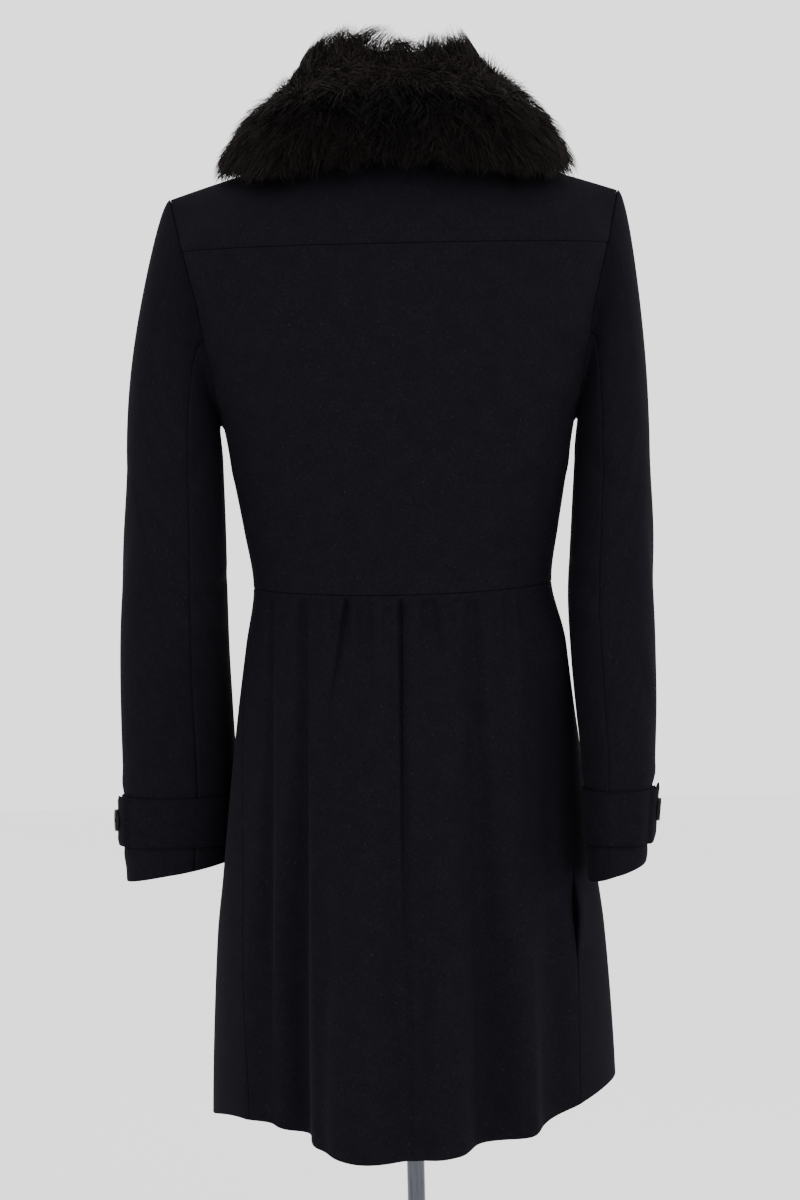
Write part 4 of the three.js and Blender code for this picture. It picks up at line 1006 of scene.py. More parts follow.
def trimSides(grid, first=True, last=True, trim=0.15):
    # half a seam's gap off the side edges
    if first:
        grid[:, 0] += unit(grid[:, 1] - grid[:, 0]) * trim
    if last:
        grid[:, -1] += unit(grid[:, -2] - grid[:, -1]) * trim
    return grid


bodiceGrid, bodiceLevels = makeBackBodice()
yokeGrid = makeYoke()
fronts = {}
panels = {"yoke": makeCloth("yokeCloth", yokeGrid, middleOfBody, ["back_yoke"], bodiceLook["yokeCut"])}
makeCloth("backCloth", trimSides(bodiceGrid.copy()), middleOfBody, ["back_bodice"], bodiceLook["backCut"])
makeCloth("backSkirtCloth", trimSides(makeBackSkirt()), middleOfSkirt, ["back_skirt"], skirt["backCut"])
for sideName, side in (("left", 1), ("right", -1)):
    fronts[sideName], frontLevels = makeFront(side)
    panels["front" + sideName] = makeCloth(
        "frontCloth_" + sideName, trimSides(fronts[sideName].copy(), True, False), middleOfBody,
        ["front_bodice_" + sideName], bodiceLook["frontCut"])
    panels["frontSkirt" + sideName] = makeCloth(
        "frontSkirtCloth_" + sideName, trimSides(makeFrontSkirt(side), True, False), middleOfSkirt,
        ["front_skirt_" + sideName], skirt["frontCut"])
print("bodice, yoke and skirt made")


# sleeves and their straps
sleeve = {
    "columns": 124, "capRows": 40, "lowRows": 76, "top": 1120, "gap": 0.35, "trim": 0.06,
    "turned": 0.4, "creaseTop": (4, 14), "creaseLow": (2, 18), "cuffWave": 0.6, "cuffWaveSize": (26, 26, 30),
    # the cloth swells above and below the strap and is drawn in under it: out, from its edge and width
    "puffs": [(1.3, "strapHigh", 12, 9), (0.9, "strapLow", -10, 8)], "pinch": (0.8, 24),
    "backSeam": 110.6, "frontSeam": 259.0, "wave": 0.8, "waveSize": (60, 60, 110), "radius": 48,
    "cuts": {"topleft": (0.288, 0.634, 0.108), "underleft": (0.204, 0.495, 0.058),
             "topright": (0.288, 0.606, 0.091), "underright": (0.204, 0.496, 0.054)},
}
arms = {
    "left": {
        "sign": 1, "seed": 21, "strapLow": 775, "strapHigh": 820, "tabLift": 0.6, "tabRise": 0,
        "hemFar": 741, "hemNear": 759, "strapStart": 30.1, "strapSpan": 409.3,
        "rings": {
            "z": (1120, 1060, 1000, 950, 900, 850, 820, 775, 740),
            "near": (159, 158, 158, 158, 157, 156, 157, 161, 165),
            "far": (246, 250, 254, 257, 259, 260, 260, 261, 260),
            "deep": (118, 118, 112, 108, 102, 96, 92, 88, 85),
            "middle": (-2, -5, -12, -23, -38, -52, -58, -62, -64),
        },
        # turn, height, slant, half length, half width, depth
        "creases": [
            (150, 1010, 32, 46, 7, 2.2), (140, 968, 24, 42, 7, 2.0), (120, 930, 14, 40, 8, 1.6),
            (240, 1000, -30, 44, 7, 2.2), (232, 955, -22, 42, 7, 2.0), (60, 1090, -58, 60, 10, 1.4),
            (110, 1110, 60, 64, 9, 1.6), (90, 880, 80, 60, 9, 1.2), (20, 1040, 82, 80, 12, 1.1),
            (75, 845, 10, 34, 6, 1.3), (130, 852, -14, 30, 6, 1.3), (320, 1010, 84, 70, 12, 1.2),
        ],
    },
    "right": {
        "sign": -1, "seed": 31, "strapLow": 785, "strapHigh": 831, "tabLift": 4, "tabRise": 20,
        "hemFar": 768, "hemNear": 752, "strapStart": 30.1, "strapSpan": 409.3,
        "rings": {
            "z": (1120, 1060, 1000, 950, 900, 850, 820, 775, 740),
            "near": (157, 152, 147, 148, 151, 155, 156, 156, 156),
            "far": (225, 226, 225, 224, 222, 218, 213, 208, 202),
            "deep": (122, 120, 114, 110, 104, 98, 92, 88, 86),
            "middle": (2, 8, 18, 30, 44, 58, 68, 75, 78),
        },
        "creases": [
            (146, 1020, 30, 44, 7, 2.0), (138, 975, 22, 42, 7, 2.0), (60, 930, 76, 60, 9, 1.3),
            (236, 1010, -30, 46, 7, 2.2), (230, 962, -24, 42, 7, 2.0), (64, 1096, -56, 60, 10, 1.5),
            (112, 1108, 58, 60, 9, 1.5), (80, 858, 8, 36, 6, 1.4), (130, 866, -12, 30, 6, 1.2),
            (18, 1030, 82, 76, 12, 1.2), (320, 1000, 84, 70, 12, 1.2), (100, 900, 70, 56, 9, 1.1),
        ],
    },
}


def armholeLoop(side, front):
    # edge of the yoke, back and front as points and outward normals, from the tip down the back
    column = -1 if side > 0 else 0
    parts = []

    def take(grid, rows, at):
        normal = gridNormals(grid, middleOfBody)
        parts.append((grid[rows, at], normal[rows, at]))
    take(yokeGrid, slice(None, 0, -1), column)
    under = int(np.argmin(np.abs(bodiceLevels - seams["underarm"])))
    take(bodiceGrid, slice(None, under - 1, -1), column)
    underFront = int(np.argmin(np.abs(frontLevels - seams["underarm"])))
    take(front, slice(underFront + 1, -1), 0)
    return np.concatenate([p for p, n in parts]), np.concatenate([n for p, n in parts])


def smoothRound(values, passes):
    for step in range(passes):
        values = 0.5 * values + 0.25 * (np.roll(values, 1, axis=0) + np.roll(values, -1, axis=0))
    return values


def evenLoop(points, normals, count):
    closed = np.concatenate([points, points[:1]])
    closedNormals = np.concatenate([normals, normals[:1]])
    run = runAlong(closed)
    lowest = run[int(np.argmin(points[:, 2]))]
    first = max(8, int(round(count * lowest / run[-1])))
    wanted = np.concatenate([np.linspace(0, lowest, first + 1)[:-1],
                             np.linspace(lowest, run[-1], count - first + 1)[:-1]])
    at = pickAlong(closed, run, wanted)
    normal = unit(pickAlong(closedNormals, run, wanted))
    turn = np.where(wanted <= lowest, 180 * wanted / lowest, 180 + 180 * (wanted - lowest) / (run[-1] - lowest))
    return at, normal, turn


def armPoint(arm, turn, z):
    near, far, deep, middle = (readTable(arm["rings"], "z", z, c) for c in ("near", "far", "deep", "middle"))
    cosine, sine = np.cos(np.radians(turn)), np.sin(np.radians(turn))
    return stack(arm["sign"] * ((near + far) / 2 + (far - near) / 2 * bow(cosine, 0.92)),
                 middle + deep / 2 * bow(sine, 0.92), z)


def sleeveGrid(arm, front):
    points, normals = armholeLoop(arm["sign"], front)
    at, normal, turn = evenLoop(points, normals, sleeve["columns"])
    along = unit(smoothRound(np.roll(at, -1, axis=0) - np.roll(at, 1, axis=0), 3))
    away = unit(np.cross(along, smoothRound(normal, 6)))
    centre = np.array([arm["sign"] * 185.0, 0, 1255])
    away = away * np.where(((centre - at) * away).sum(-1) < 0, -1, 1)[:, None]
    away = unit(smoothRound(away, 4))
    start = at + away * sleeve["gap"]
    low = (1 - np.cos(np.radians(turn))) / 2
    end = armPoint(arm, turn, float(sleeve["top"]))
    leaving = start + away * mix(3, 14, low ** 6)[:, None]
    leaving[:, 0] += arm["sign"] * mix(8, 4, low ** 4)
    arriving = end.copy()
    arriving[:, 2] += mix(0.44, 0.62, low) * (start[:, 2] - end[:, 2])
    t = np.concatenate([[0, 0.002, 0.006, 0.012], np.linspace(0, 1, sleeve["capRows"])[1:]])[:, None, None]
    cap = bezier(start, leaving, arriving, end, t)
    out = (1 + np.cos(np.radians(turn))) / 2
    foot = mix(arm["hemNear"], arm["hemFar"], out)
    down = np.concatenate([np.linspace(0, 1, sleeve["lowRows"])[1:], [0.9935, 0.996, 0.9985]])
    down = np.sort(down)[:, None]
    z = mix(float(sleeve["top"]), foot[None, :], down)
    low = armPoint(arm, turn[None, :], z)
    grid = np.concatenate([cap, low])
    return grid, turn


def sleeveLook(grid, turn, arm, seed):
    # soft creases, the waist that the strap makes, and an axis for the normals
    axis = grid.mean(axis=1, keepdims=True)
    wrapped = np.concatenate([grid[:, -1:], grid, grid[:, :1]], axis=1)
    normal = unit(np.cross(np.gradient(wrapped, axis=1), np.gradient(wrapped, axis=0)))[:, 1:-1]
    normal = normal * np.sign(np.median(((grid - axis) * normal).sum(-1)))
    z = grid[..., 2]
    radius = sleeve["radius"]
    s = np.radians(turn)[None, :] * radius
    out = creaseOut(s, z, [(math.radians(c[0]) * radius, *c[1:]) for c in arm["creases"]])
    out = out + sleeve["wave"] * softNoise(grid, sleeve["waveSize"], seed)
    rows = np.arange(len(grid))[:, None]
    start, fade = sleeve["creaseTop"]
    away, lowFade = sleeve["creaseLow"]
    out = out * ease((rows - start) / fade) * ease((z - arm["strapHigh"] - away) / lowFade)
    middle = (arm["strapLow"] + arm["strapHigh"]) / 2
    drawn, wide = sleeve["pinch"]
    pinch = np.exp(-((z - middle) / wide) ** 4)
    below = sleeve["cuffWave"] * softNoise(grid, sleeve["cuffWaveSize"], seed + 1)
    below = below * ease((arm["strapLow"] - 2 - z) / 10)
    puff = sum(rise * bell(z - arm[edge] - off, width) for rise, edge, off, width in sleeve["puffs"])
    out = out + below + puff - drawn * pinch
    return grid + normal * out[..., None], normal


strap = {"thick": 2.2, "gap": 0.5, "turned": 0.8, "columns": 190, "rows": 12,
         # where the point starts on the part that lies over, how far it narrows, and where it comes to lie over
         "pointFrom": 0.45, "pointIn": 0.86, "overFrom": 352, "overFade": 8, "overClear": 0.6,
         "cuts": {"left": (0.385, 0.045, 0.0163), "right": (0.312, 0.047, 0.0133)}}


def makeStrap(name, arm):
    # a band once round the cuff, its pointed end lying over its start
    step = np.linspace(0, arm["strapSpan"], strap["columns"])
    over = np.maximum(0, step - 360) / (arm["strapSpan"] - 360)
    at = (arm["strapStart"] - step) % 360
    rowShare = np.linspace(0, 1, strap["rows"])
    narrow = ease((over - strap["pointFrom"]) / (1 - strap["pointFrom"]))
    middle = (arm["strapLow"] + arm["strapHigh"]) / 2
    z = mix(float(arm["strapHigh"]), float(arm["strapLow"]), rowShare)[:, None]
    z = mix(z, middle, strap["pointIn"] * narrow[None, :])
    base = armPoint(arm, at[None, :], z)
    ahead = armPoint(arm, at[None, :] + 1, z) - armPoint(arm, at[None, :] - 1, z)
    lift = armPoint(arm, at[None, :], z + 2) - armPoint(arm, at[None, :], z - 2)
    outward = unit(np.cross(ahead, lift))
    centre = sum(armPoint(arm, np.array([turn]), np.array([middle])) * 0.5 for turn in (0.0, 180.0))
    outward = outward * np.sign(np.median(((base - centre) * outward).sum(-1)))
    onTop = ease((step - strap["overFrom"]) / strap["overFade"])
    raise_ = strap["gap"] + onTop * (strap["thick"] + strap["overClear"]) + over * arm["tabLift"] + strap["thick"]
    base = base + outward * raise_[None, :, None]
    base[..., 2] += arm["tabRise"] * over[None, :] ** 2
    return makeCloth("strapCloth_" + name, base, centre[0], ["sleeve_strap_" + name], strap["cuts"][name],
                     strap["thick"], strap["turned"], strapWool, outward)


for sideName, arm in arms.items():
    grid, turn = sleeveGrid(arm, fronts[sideName])
    grid, normal = sleeveLook(grid, turn, arm, arm["seed"])
    axis = grid.mean(axis=1, keepdims=True)
    backSeam = int(np.argmin(np.abs(turn - sleeve["backSeam"])))
    frontSeam = int(np.argmin(np.abs(turn - sleeve["frontSeam"])))
    order = {"under": np.arange(backSeam, frontSeam + 1),
             "top": np.arange(frontSeam, backSeam + len(turn) + 1) % len(turn)}
    for part, columns in order.items():
        cutGrid = trimSides(grid[:, columns].copy(), True, True, sleeve["trim"])
        makeCloth("sleeveCloth_%s_%s" % (part, sideName), cutGrid, axis, ["sleeve_%s_%s" % (part, sideName)],
                  sleeve["cuts"][part + sideName], turned=sleeve["turned"], normals=normal[:, columns])
    panels["strap" + sideName] = makeStrap(sideName, arm)
print("sleeves and straps made")

# the fur collar
furCollar = {
    # from the neck seam over the roll to the lower edge, as shares of the reach and the height
    "along": (0.01, -0.06, -0.2, -0.22, -0.12, 0.08, 0.4, 0.76, 0.96, 1.0),
    "height": (0.03, 0.56, 0.76, 0.93, 1.0, 0.8, 0.62, 0.39, 0.15, 0.01),
    "back": {"angle": (0, 30, 60, 90), "reach": (110, 120, 142, 155), "edgeZ": (1377, 1370, 1367, 1378),
             "height": (92, 95, 96, 92)},
    "front": {"share": (0.32, 0.5, 0.7, 0.85, 1), "breadth": (0.16, 0.22, 0.28, 0.33, 0.37),
              "height": (24, 40, 56, 76, 94)},
    "shares": (0.32, 0.36, 0.43, 0.51, 0.6, 0.7, 0.8, 0.9),
    "round": 60, "between": 7, "core": 0.76,
    "pieces": 4, "strands": 22500, "clumps": 520, "spread": 6.0,
    "tuft": 8.0, "width": 0.56, "seed": 41,
    # over the roll's section, from the neck seam round and back: how thick the fur grows, and how far
    # its tufts lie over
    "dense": ((0, 0.1, 0.24, 0.34, 0.6, 0.78, 0.84, 0.97, 1), (0.3, 0.7, 1.2, 1.8, 1.2, 1.15, 0.3, 0.12, 0.3)),
    "lay": ((0, 0.18, 0.29, 0.36, 0.5, 0.78, 1), (10, 9, 4, 8, 14, 12, 4)),
    # the top of the roll and its width, how far tufts stand out there, and more round a turn and its width
    "top": (0.33, 0.065), "tall": 4.5, "taller": [(9.0, -86, 22), (3.0, 26, 26)], "tallRange": (0.6, 0.4),
    # tufts all over, and on the roll's outside at the flanks: out, turn, its width and how few are long
    "allOver": 2.0, "outside": (0.3, 0.8, 0.1), "flankTufts": (8.0, 84, 26, 1.6),
    # the parting's depth, its place in rows and its width
    "parting": (11.0, -1, 3.5),
    # how clumps and strands vary; a range is its low end and its span
    "sizeSpread": 0.35, "layRange": (0.7, 0.6), "swing": 7.5, "topSwing": 0.9, "gather": (0.5, 0.16),
    "stray": (1.6, 2.0), "reachStray": 1.3, "bendStray": 1.3, "rootSink": 1.0, "length": (0.9, 0.1),
    "widthRange": (0.7, 0.6), "taper": (0.5, 0.46, 0.28),
    "loose": {"share": 0.3, "gather": 0.95, "length": (0.45, 0.35), "width": 0.75},
    # how the hairs' tone varies: a random tone for each strand and clump, and painted light: a painted highlight that
    # grows towards the flanks, stronger on the wearer's right, and along the top; painted shade along the lower edge
    # down the middle (its depth, place over and width); how much of this painted light and shade enters the tone; and
    # how dark the loose underfur stays
    "tones": {"flankTurn": 80, "flankPower": 1.6, "right": 1.35, "flank": 1.1, "top": 0.6,
              "lowEdge": (0.35, 0.78, 0.09), "strand": 0.1, "clump": 0.32, "pale": 0.62, "loose": 0.7},
    # where along a strand its three joints and its tip are
    "joints": (0, 0.42, 0.76, 1.0),
    # the roll is fuller at the right and beside its parting: out, turn and its width, place over and its width
    "swells": [(9.0, -88, 20, 0.42, 0.07), (4.5, 23, 15, 0.34, 0.08)],
    "cornerTufts": [(6.0, -88, 17, 0.42, 0.06)],
}


def closedCurve(corners, count):
    # a closed curve through the corners, with its points evenly spaced
    p1 = np.asarray(corners, float)
    p0, p2, p3 = np.roll(p1, 1, axis=0), np.roll(p1, -1, axis=0), np.roll(p1, -2, axis=0)
    gap = lambda a, b: np.linalg.norm(b - a, axis=1, keepdims=True) ** 0.5
    d0, d1, d2 = gap(p0, p1), gap(p1, p2), gap(p2, p3)
    t1 = ((p1 - p0) / d0 - (p2 - p0) / (d0 + d1) + (p2 - p1) / d1) * d1
    t2 = ((p2 - p1) / d1 - (p3 - p1) / (d1 + d2) + (p3 - p2) / d2) * d1
    t = np.linspace(0, 1, 24, endpoint=False)[None, :, None]
    a, b, m, n = p1[:, None], p2[:, None], t1[:, None], t2[:, None]
    fine = ((2 * t ** 3 - 3 * t ** 2 + 1) * a + (t ** 3 - 2 * t ** 2 + t) * m
            + (3 * t ** 2 - 2 * t ** 3) * b + (t ** 3 - t ** 2) * n).reshape(-1, 3)
    fine = np.concatenate([fine, fine[:1]])
    run = runAlong(fine)
    return pickAlong(fine, run, np.linspace(0, run[-1], count, endpoint=False))


def furSection(seam, edge, underside, upward, height):
    along = np.array(furCollar["along"])[:, None]
    rise = np.array(furCollar["height"])[:, None]
    corners = seam + (edge - seam) * along + upward * rise * height
    return closedCurve(np.concatenate([corners, underside[None]]), furCollar["round"])


def furBackSection(angle):
    size = lambda column: float(readTable(furCollar["back"], "angle", abs(angle), column))
    sine, cosine = math.sin(math.radians(angle)), math.cos(math.radians(angle))
    seam = np.array([(shoulder["neckHalf"] + 0.8) * sine,
                     shoulder["neckY"] + (shoulder["neckBack"] + 0.8) * cosine,
                     shoulder["neckZ"] + shoulder["backRise"] * cosine + 2.2])
    reach = size("reach") * (1.06 if angle < 0 else 1.02)
    edge = np.array([reach * sine, shoulder["neckY"] + reach * cosine, size("edgeZ")])
    return furSection(seam, edge, (seam + edge) / 2, np.array([0, 0, 1.0]), size("height"))


def furFrontSection(side, share):
    size = lambda column: float(readTable(furCollar["front"], "share", share, column))

    def lifted(across, clear):
        on = lambda right, up: upperPoint("front", side * (across + right), share + up)
        at, step = on(0, 0), 0.002
        normal = unit(np.cross(on(step, 0) - on(-step, 0), on(0, step) - on(0, -step)))
        normal = normal * np.sign((normal * (at - np.array([0, 0, 1200.0]))).sum())
        return at + normal * (clear + float(lapOut(side, at[0]))), normal
    first = float(frontEdgeShare(side, np.array(float(seams["break"])), share)) + 0.012
    seam, normal = lifted(first, 1.5)
    edge, _ = lifted(first + size("breadth"), 3)
    underside, _ = lifted(first + size("breadth") / 2, 5)
    upward = unit(mix(np.array([0, 0, 1.0]), normal, float(ease((1 - share) / 0.45))))
    return furSection(seam, edge, underside, upward, size("height"))


def furSurface():
    shares = furCollar["shares"]
    rings = [furFrontSection(-1, share) for share in shares]
    rings += [furBackSection(angle) for angle in np.linspace(-90, 90, 17)]
    rings += [furFrontSection(1, share) for share in reversed(shares)]
    for end in (0, -1):
        rings[end] = mix(rings[end].mean(axis=0), rings[end], 0.6)
    rings = np.array(rings)
    # smooth between the sections
    padded = np.concatenate([2 * rings[:1] - rings[1:2], rings, 2 * rings[-1:] - rings[-2:-1]])
    out = []
    for k in range(len(rings) - 1):
        a, b, c, d = padded[k:k + 4]
        for t in np.linspace(0, 1, furCollar["between"], endpoint=False):
            out.append(0.5 * (2 * b + (c - a) * t + (2 * a - 5 * b + 4 * c - d) * t ** 2
                              + (3 * b - a - 3 * c + d) * t ** 3))
    out.append(rings[-1])
    return np.array(out)


def sampleSurface(surface, u, v):
    # a point between the grid's corners; v runs round and round
    rows, columns = surface.shape[:2]
    u = np.clip(u, 0, rows - 1.001)
    i, j = np.floor(u).astype(int), np.floor(v).astype(int)
    a, b = (u - i)[:, None], (v - np.floor(v))[:, None]
    j, k = j % columns, (j + 1) % columns
    return ((1 - a) * (1 - b) * surface[i, j] + (1 - a) * b * surface[i, k]
            + a * (1 - b) * surface[i + 1, j] + a * b * surface[i + 1, k])


def makeFurSkin(core):
    rows, columns = core.shape[:2]
    points = core.reshape(-1, 3)
    i, j = np.meshgrid(np.arange(rows - 1), np.arange(columns), indexing="ij")
    k = (j + 1) % columns
    quads = np.stack([i * columns + j, i * columns + k, (i + 1) * columns + k, (i + 1) * columns + j], -1)
    ends = np.array([core[0].mean(axis=0), core[-1].mean(axis=0)])
    count = len(points)
    j, k = np.arange(columns), (np.arange(columns) + 1) % columns
    first = np.stack([k, j, np.full(columns, count)], -1)
    last = np.stack([(rows - 1) * columns + j, (rows - 1) * columns + k, np.full(columns, count + 1)], -1)
    faces = quads.reshape(-1, 4).tolist() + first.tolist() + last.tolist()
    piece = newPiece("furUndercoat", np.concatenate([points, ends]), faces, furSkin, "fur", ["fur_collar"])
    editWhole(piece, (bpy.ops.mesh.normals_make_consistent, {"inside": False}))


def swellOut(swells, turn, over):
    return sum(out * bell(turn - at, wide) * bell(over - overAt, overWide)
               for out, at, wide, overAt, overWide in swells)


def growFur(surface, core, number, uLow, uHigh, rng):
    look = furCollar
    clumps, strands = look["clumps"], look["strands"]
    varied = lambda count, low, span: low + span * rng.rand(count)
    rows, columns = surface.shape[:2]
    middle = (rows - 1) / 2
    du = np.linalg.norm(np.gradient(surface, axis=0), axis=-1)
    dv = np.linalg.norm(np.roll(surface, -1, axis=1) - surface, axis=-1)
    weight = du * dv * np.interp(np.arange(columns) / columns, *look["dense"])[None, :]
    weight[:uLow] = 0
    weight[uHigh:] = 0
    pick = rng.choice(weight.size, clumps, p=weight.ravel() / weight.sum())
    clumpU = pick // columns + rng.rand(clumps)
    clumpV = pick % columns + rng.rand(clumps)
    size = np.exp(look["sizeSpread"] * rng.randn(clumps))
    owner = rng.choice(clumps, strands, p=size / size.sum())
    u, v = clumpU[owner], clumpV[owner]
    i, j = np.clip(u.astype(int), 0, rows - 1), v.astype(int) % columns
    offsetU = rng.randn(strands) * look["spread"] / du[i, j]
    offsetV = rng.randn(strands) * look["spread"] / dv[i, j]
    over = (clumpV % columns) / columns
    turn = (clumpU - middle) / (rows - 1) * 360
    atTop = bell(over - look["top"][0], look["top"][1])
    lay = np.interp(over, *look["lay"]) * varied(clumps, *look["layRange"])
    swing = rng.randn(clumps) * look["swing"] * (1 + look["topSwing"] * atTop)
    loose = rng.rand(strands) < look["loose"]["share"]
    gather = np.where(loose, look["loose"]["gather"], varied(strands, *look["gather"]))
    tipU = u + offsetU * gather + (swing[owner] + rng.randn(strands) * look["stray"][0]) / du[i, j]
    tipV = v + offsetV * gather + (lay[owner] + rng.randn(strands) * look["stray"][1]) / dv[i, j]
    root = sampleSurface(core, u + offsetU, v + offsetV)
    skin = sampleSurface(surface, u + offsetU, v + offsetV)
    tip = sampleSurface(surface, tipU, tipV)
    outward = unit(skin - root)
    # each clump reaches more or less far, most a little and a few a long way
    tuft = (rng.rand(clumps) ** 1.5 * 1.5 - 0.75) * look["tuft"]
    tall = look["tall"] + sum(out * bell(turn - at, wide) for out, at, wide in look["taller"])
    tuft = tuft + tall * atTop * varied(clumps, *look["tallRange"])
    first, last, fade = look["outside"]
    outer = ease((over - first) / fade) * ease((last - over) / fade)
    out, at, wide, power = look["flankTufts"]
    tuft = tuft + look["allOver"] + out * outer * bell(np.abs(turn) - at, wide) * rng.rand(clumps) ** power
    deep, at, wide = look["parting"]
    tuft = tuft + swellOut(look["cornerTufts"], turn, over) - deep * bell(clumpU - middle - at, wide) * atTop
    reach = tuft[owner] + rng.randn(strands) * look["reachStray"]
    tip = tip + unit(tip - sampleSurface(core, tipU, tipV)) * reach[:, None]
    # the loose underfur stays short
    short = np.where(loose, varied(strands, *look["loose"]["length"]), varied(strands, *look["length"]))
    tip = root + (tip - root) * short[:, None]
    root = root - outward * look["rootSink"]
    length = np.linalg.norm(tip - root, axis=1, keepdims=True)
    bend = root + outward * length * 0.5 + rng.randn(strands, 3) * look["bendStray"]
    t = np.array(look["joints"])[None, :, None]
    spine = (1 - t) ** 2 * root[:, None] + 2 * t * (1 - t) * bend[:, None] + t ** 2 * tip[:, None]
    tangent = unit(tip - root)
    sideways = unit(np.cross(tangent, rng.randn(strands, 3)))
    wide = look["width"] * varied(strands, *look["widthRange"]) * np.where(loose, look["loose"]["width"], 1.0)
    half = wide[:, None] * np.array(look["taper"])[None, :]
    left = spine[:, :3] - sideways[:, None] * half[..., None]
    right = spine[:, :3] + sideways[:, None] * half[..., None]
    points = np.concatenate([np.stack([left, right], axis=2).reshape(-1, 6, 3), spine[:, 3:4]], axis=1)
    base = np.arange(strands)[:, None] * 7
    quads = np.stack([base + np.array([0, 1, 3, 2]), base + np.array([2, 3, 5, 4])], axis=1).reshape(-1, 4)
    tips = base + np.array([4, 5, 6])
    # painted light: a painted highlight paler towards the flanks, stronger on the wearer's right, and along the top,
    # and painted shade darker along the lower edge down the middle; each strand and clump adds a random tone
    tones = look["tones"]
    flank = np.clip(np.abs(turn) / tones["flankTurn"], 0, 1) ** tones["flankPower"]
    # the wearer's right flank, on the side the light comes from, takes more of the painted highlight
    flank = flank * np.where(turn < 0, tones["right"], 1.0)
    dark, at, wide = tones["lowEdge"]
    pale = np.maximum(tones["flank"] * flank, tones["top"] * atTop) - dark * bell(over - at, wide) * (1 - flank)
    ownTone = rng.rand(strands) * tones["strand"]
    tone = np.clip(ownTone + (tones["clump"] * rng.rand(clumps) + tones["pale"] * pale)[owner], 0, 1)
    uv = np.empty((strands, 7, 2))
    uv[..., 0] = tone[:, None]
    uv[..., 1] = np.repeat(look["joints"], (2, 2, 2, 1)) * np.where(loose, tones["loose"], 1.0)[:, None]
    piece = newPiece("furStrands_%d" % number, points.reshape(-1, 3), quads.tolist() + tips.tolist(), fur,
                     "fur", uv=uv.reshape(-1, 2), uvName="hair")
    # the hairs are shaded as the coat they make, with a little of their own turn
    away = unit(0.28 * tangent + 0.75 * outward)
    own = unit(np.cross(tangent, sideways))
    own = own * np.sign((own * outward).sum(-1, keepdims=True))
    shade = unit(0.82 * away + 0.18 * own)
    piece.data.normals_split_custom_set_from_vertices(np.repeat(shade, 7, axis=0).tolist())


furOuter = furSurface()
roundTurn = np.linspace(-180, 180, len(furOuter))[:, None]
overShare = (np.arange(furOuter.shape[1]) / furOuter.shape[1])[None, :]
swell = swellOut(furCollar["swells"], roundTurn, overShare)
furOuter = furOuter + swell[..., None] * fromAxis(furOuter)
furCore = mix(furOuter.mean(axis=1, keepdims=True), furOuter, furCollar["core"])
furCore = furCore + softNoise(furCore, (9, 9, 9), 71)[..., None] * 0.8 * fromAxis(furCore)
makeFurSkin(furCore)
rng = np.random.RandomState(furCollar["seed"])
cuts = np.linspace(0, len(furOuter) - 1, furCollar["pieces"] + 1).astype(int)
for number in range(furCollar["pieces"]):
    growFur(furOuter, furCore, number + 1, cuts[number], cuts[number + 1], rng)
print("fur collar made")

collarStand = {"height": 54, "lean": 7, "halfAngle": 92, "thick": 2.2, "cut": (0.227, 0.054, 0.0117)}


def makeCollarStand():
    angle = np.radians(np.linspace(-collarStand["halfAngle"], collarStand["halfAngle"], 90))[None, :]
    rise = np.linspace(1, 0, 22)[:, None]
    lean = collarStand["lean"] * rise
    grid = stack((shoulder["neckHalf"] - lean) * np.sin(angle),
                 shoulder["neckY"] + (shoulder["neckBack"] - lean) * np.cos(angle),
                 shoulder["neckZ"] + shoulder["backRise"] * np.cos(angle) + 0.5 + collarStand["height"] * rise)
    makeCloth("collarStandCloth", grid, np.array([0, 0, 1420.0]), ["collar_stand"], collarStand["cut"],
              collarStand["thick"])


makeCollarStand()


# topstitching, and how far from the edges of the straps and the front it runs
stitchLook = {"pitch": 3.6, "long": 2.7, "radius": 0.34, "sink": 0.05, "strapFrom": 4.0, "frontFrom": 7.0}


def makeStitches(name, lines):
    # each line is points on the cloth with the normals there; every stitch is a slim spindle
    look = stitchLook
    allPoints, allFaces, start = [], [], 0
    for points, normals in lines:
        run = runAlong(points)
        at = np.arange(look["pitch"], run[-1] - look["pitch"] / 2, look["pitch"])
        normal = unit(pickAlong(normals, run, at))
        ends = [pickAlong(points, run, at + end * look["long"] / 2) for end in (-1, 1)]
        along = unit(ends[1] - ends[0])
        cross = unit(np.cross(along, normal))
        middle = (ends[0] + ends[1]) / 2 + normal * look["sink"]
        ring = [middle + cross * look["radius"], middle + normal * look["radius"] * 1.1,
                middle - cross * look["radius"], middle - normal * look["radius"] * 1.1]
        ends = [end - normal * look["radius"] * 0.5 for end in ends]
        allPoints.append(np.stack([ends[0], *ring, ends[1]], axis=1).reshape(-1, 3))
        base = start + np.arange(len(at))[:, None] * 6
        for k in range(4):
            a, b = 1 + k, 1 + (k + 1) % 4
            allFaces += [base + np.array([0, b, a]), base + np.array([5, a, b])]
        start += len(at) * 6
    return newPiece(name, np.concatenate(allPoints), np.concatenate(allFaces), thread, "wool")


def gridLine(panel, distance, fromEnd=False, axis=0):
    # the line of a panel that runs at a distance from one of its edges
    outer, normal = (np.swapaxes(values, 0, axis) for values in panel[1:])
    run = runLength(outer, 0)
    if fromEnd:
        run = run[-1:] - run
    lines, normals = [], []
    for k in range(outer.shape[1]):
        order = np.argsort(run[:, k])
        for values, found in ((outer, lines), (normal, normals)):
            found.append([np.interp(distance, run[order, k], values[order, k, c]) for c in range(3)])
    return np.array(lines), unit(np.array(normals))


def stitchPanel(part, sideName, *rows):
    lines = [gridLine(panels[part + sideName], *row) for row in rows]
    suffix = "_" + sideName if sideName else ""
    sheets[part + "Cloth" + suffix]["with"].append(makeStitches(part + "Stitches" + suffix, lines))


stitchPanel("yoke", "", (seams["yokeStitch"],))
for sideName in arms:
    stitchPanel("strap", sideName, (stitchLook["strapFrom"],), (stitchLook["strapFrom"], True))
for sideName in arms:
    for part in ("front", "frontSkirt"):
        stitchPanel(part, sideName, (stitchLook["frontFrom"], True, 1))
print("topstitching made")

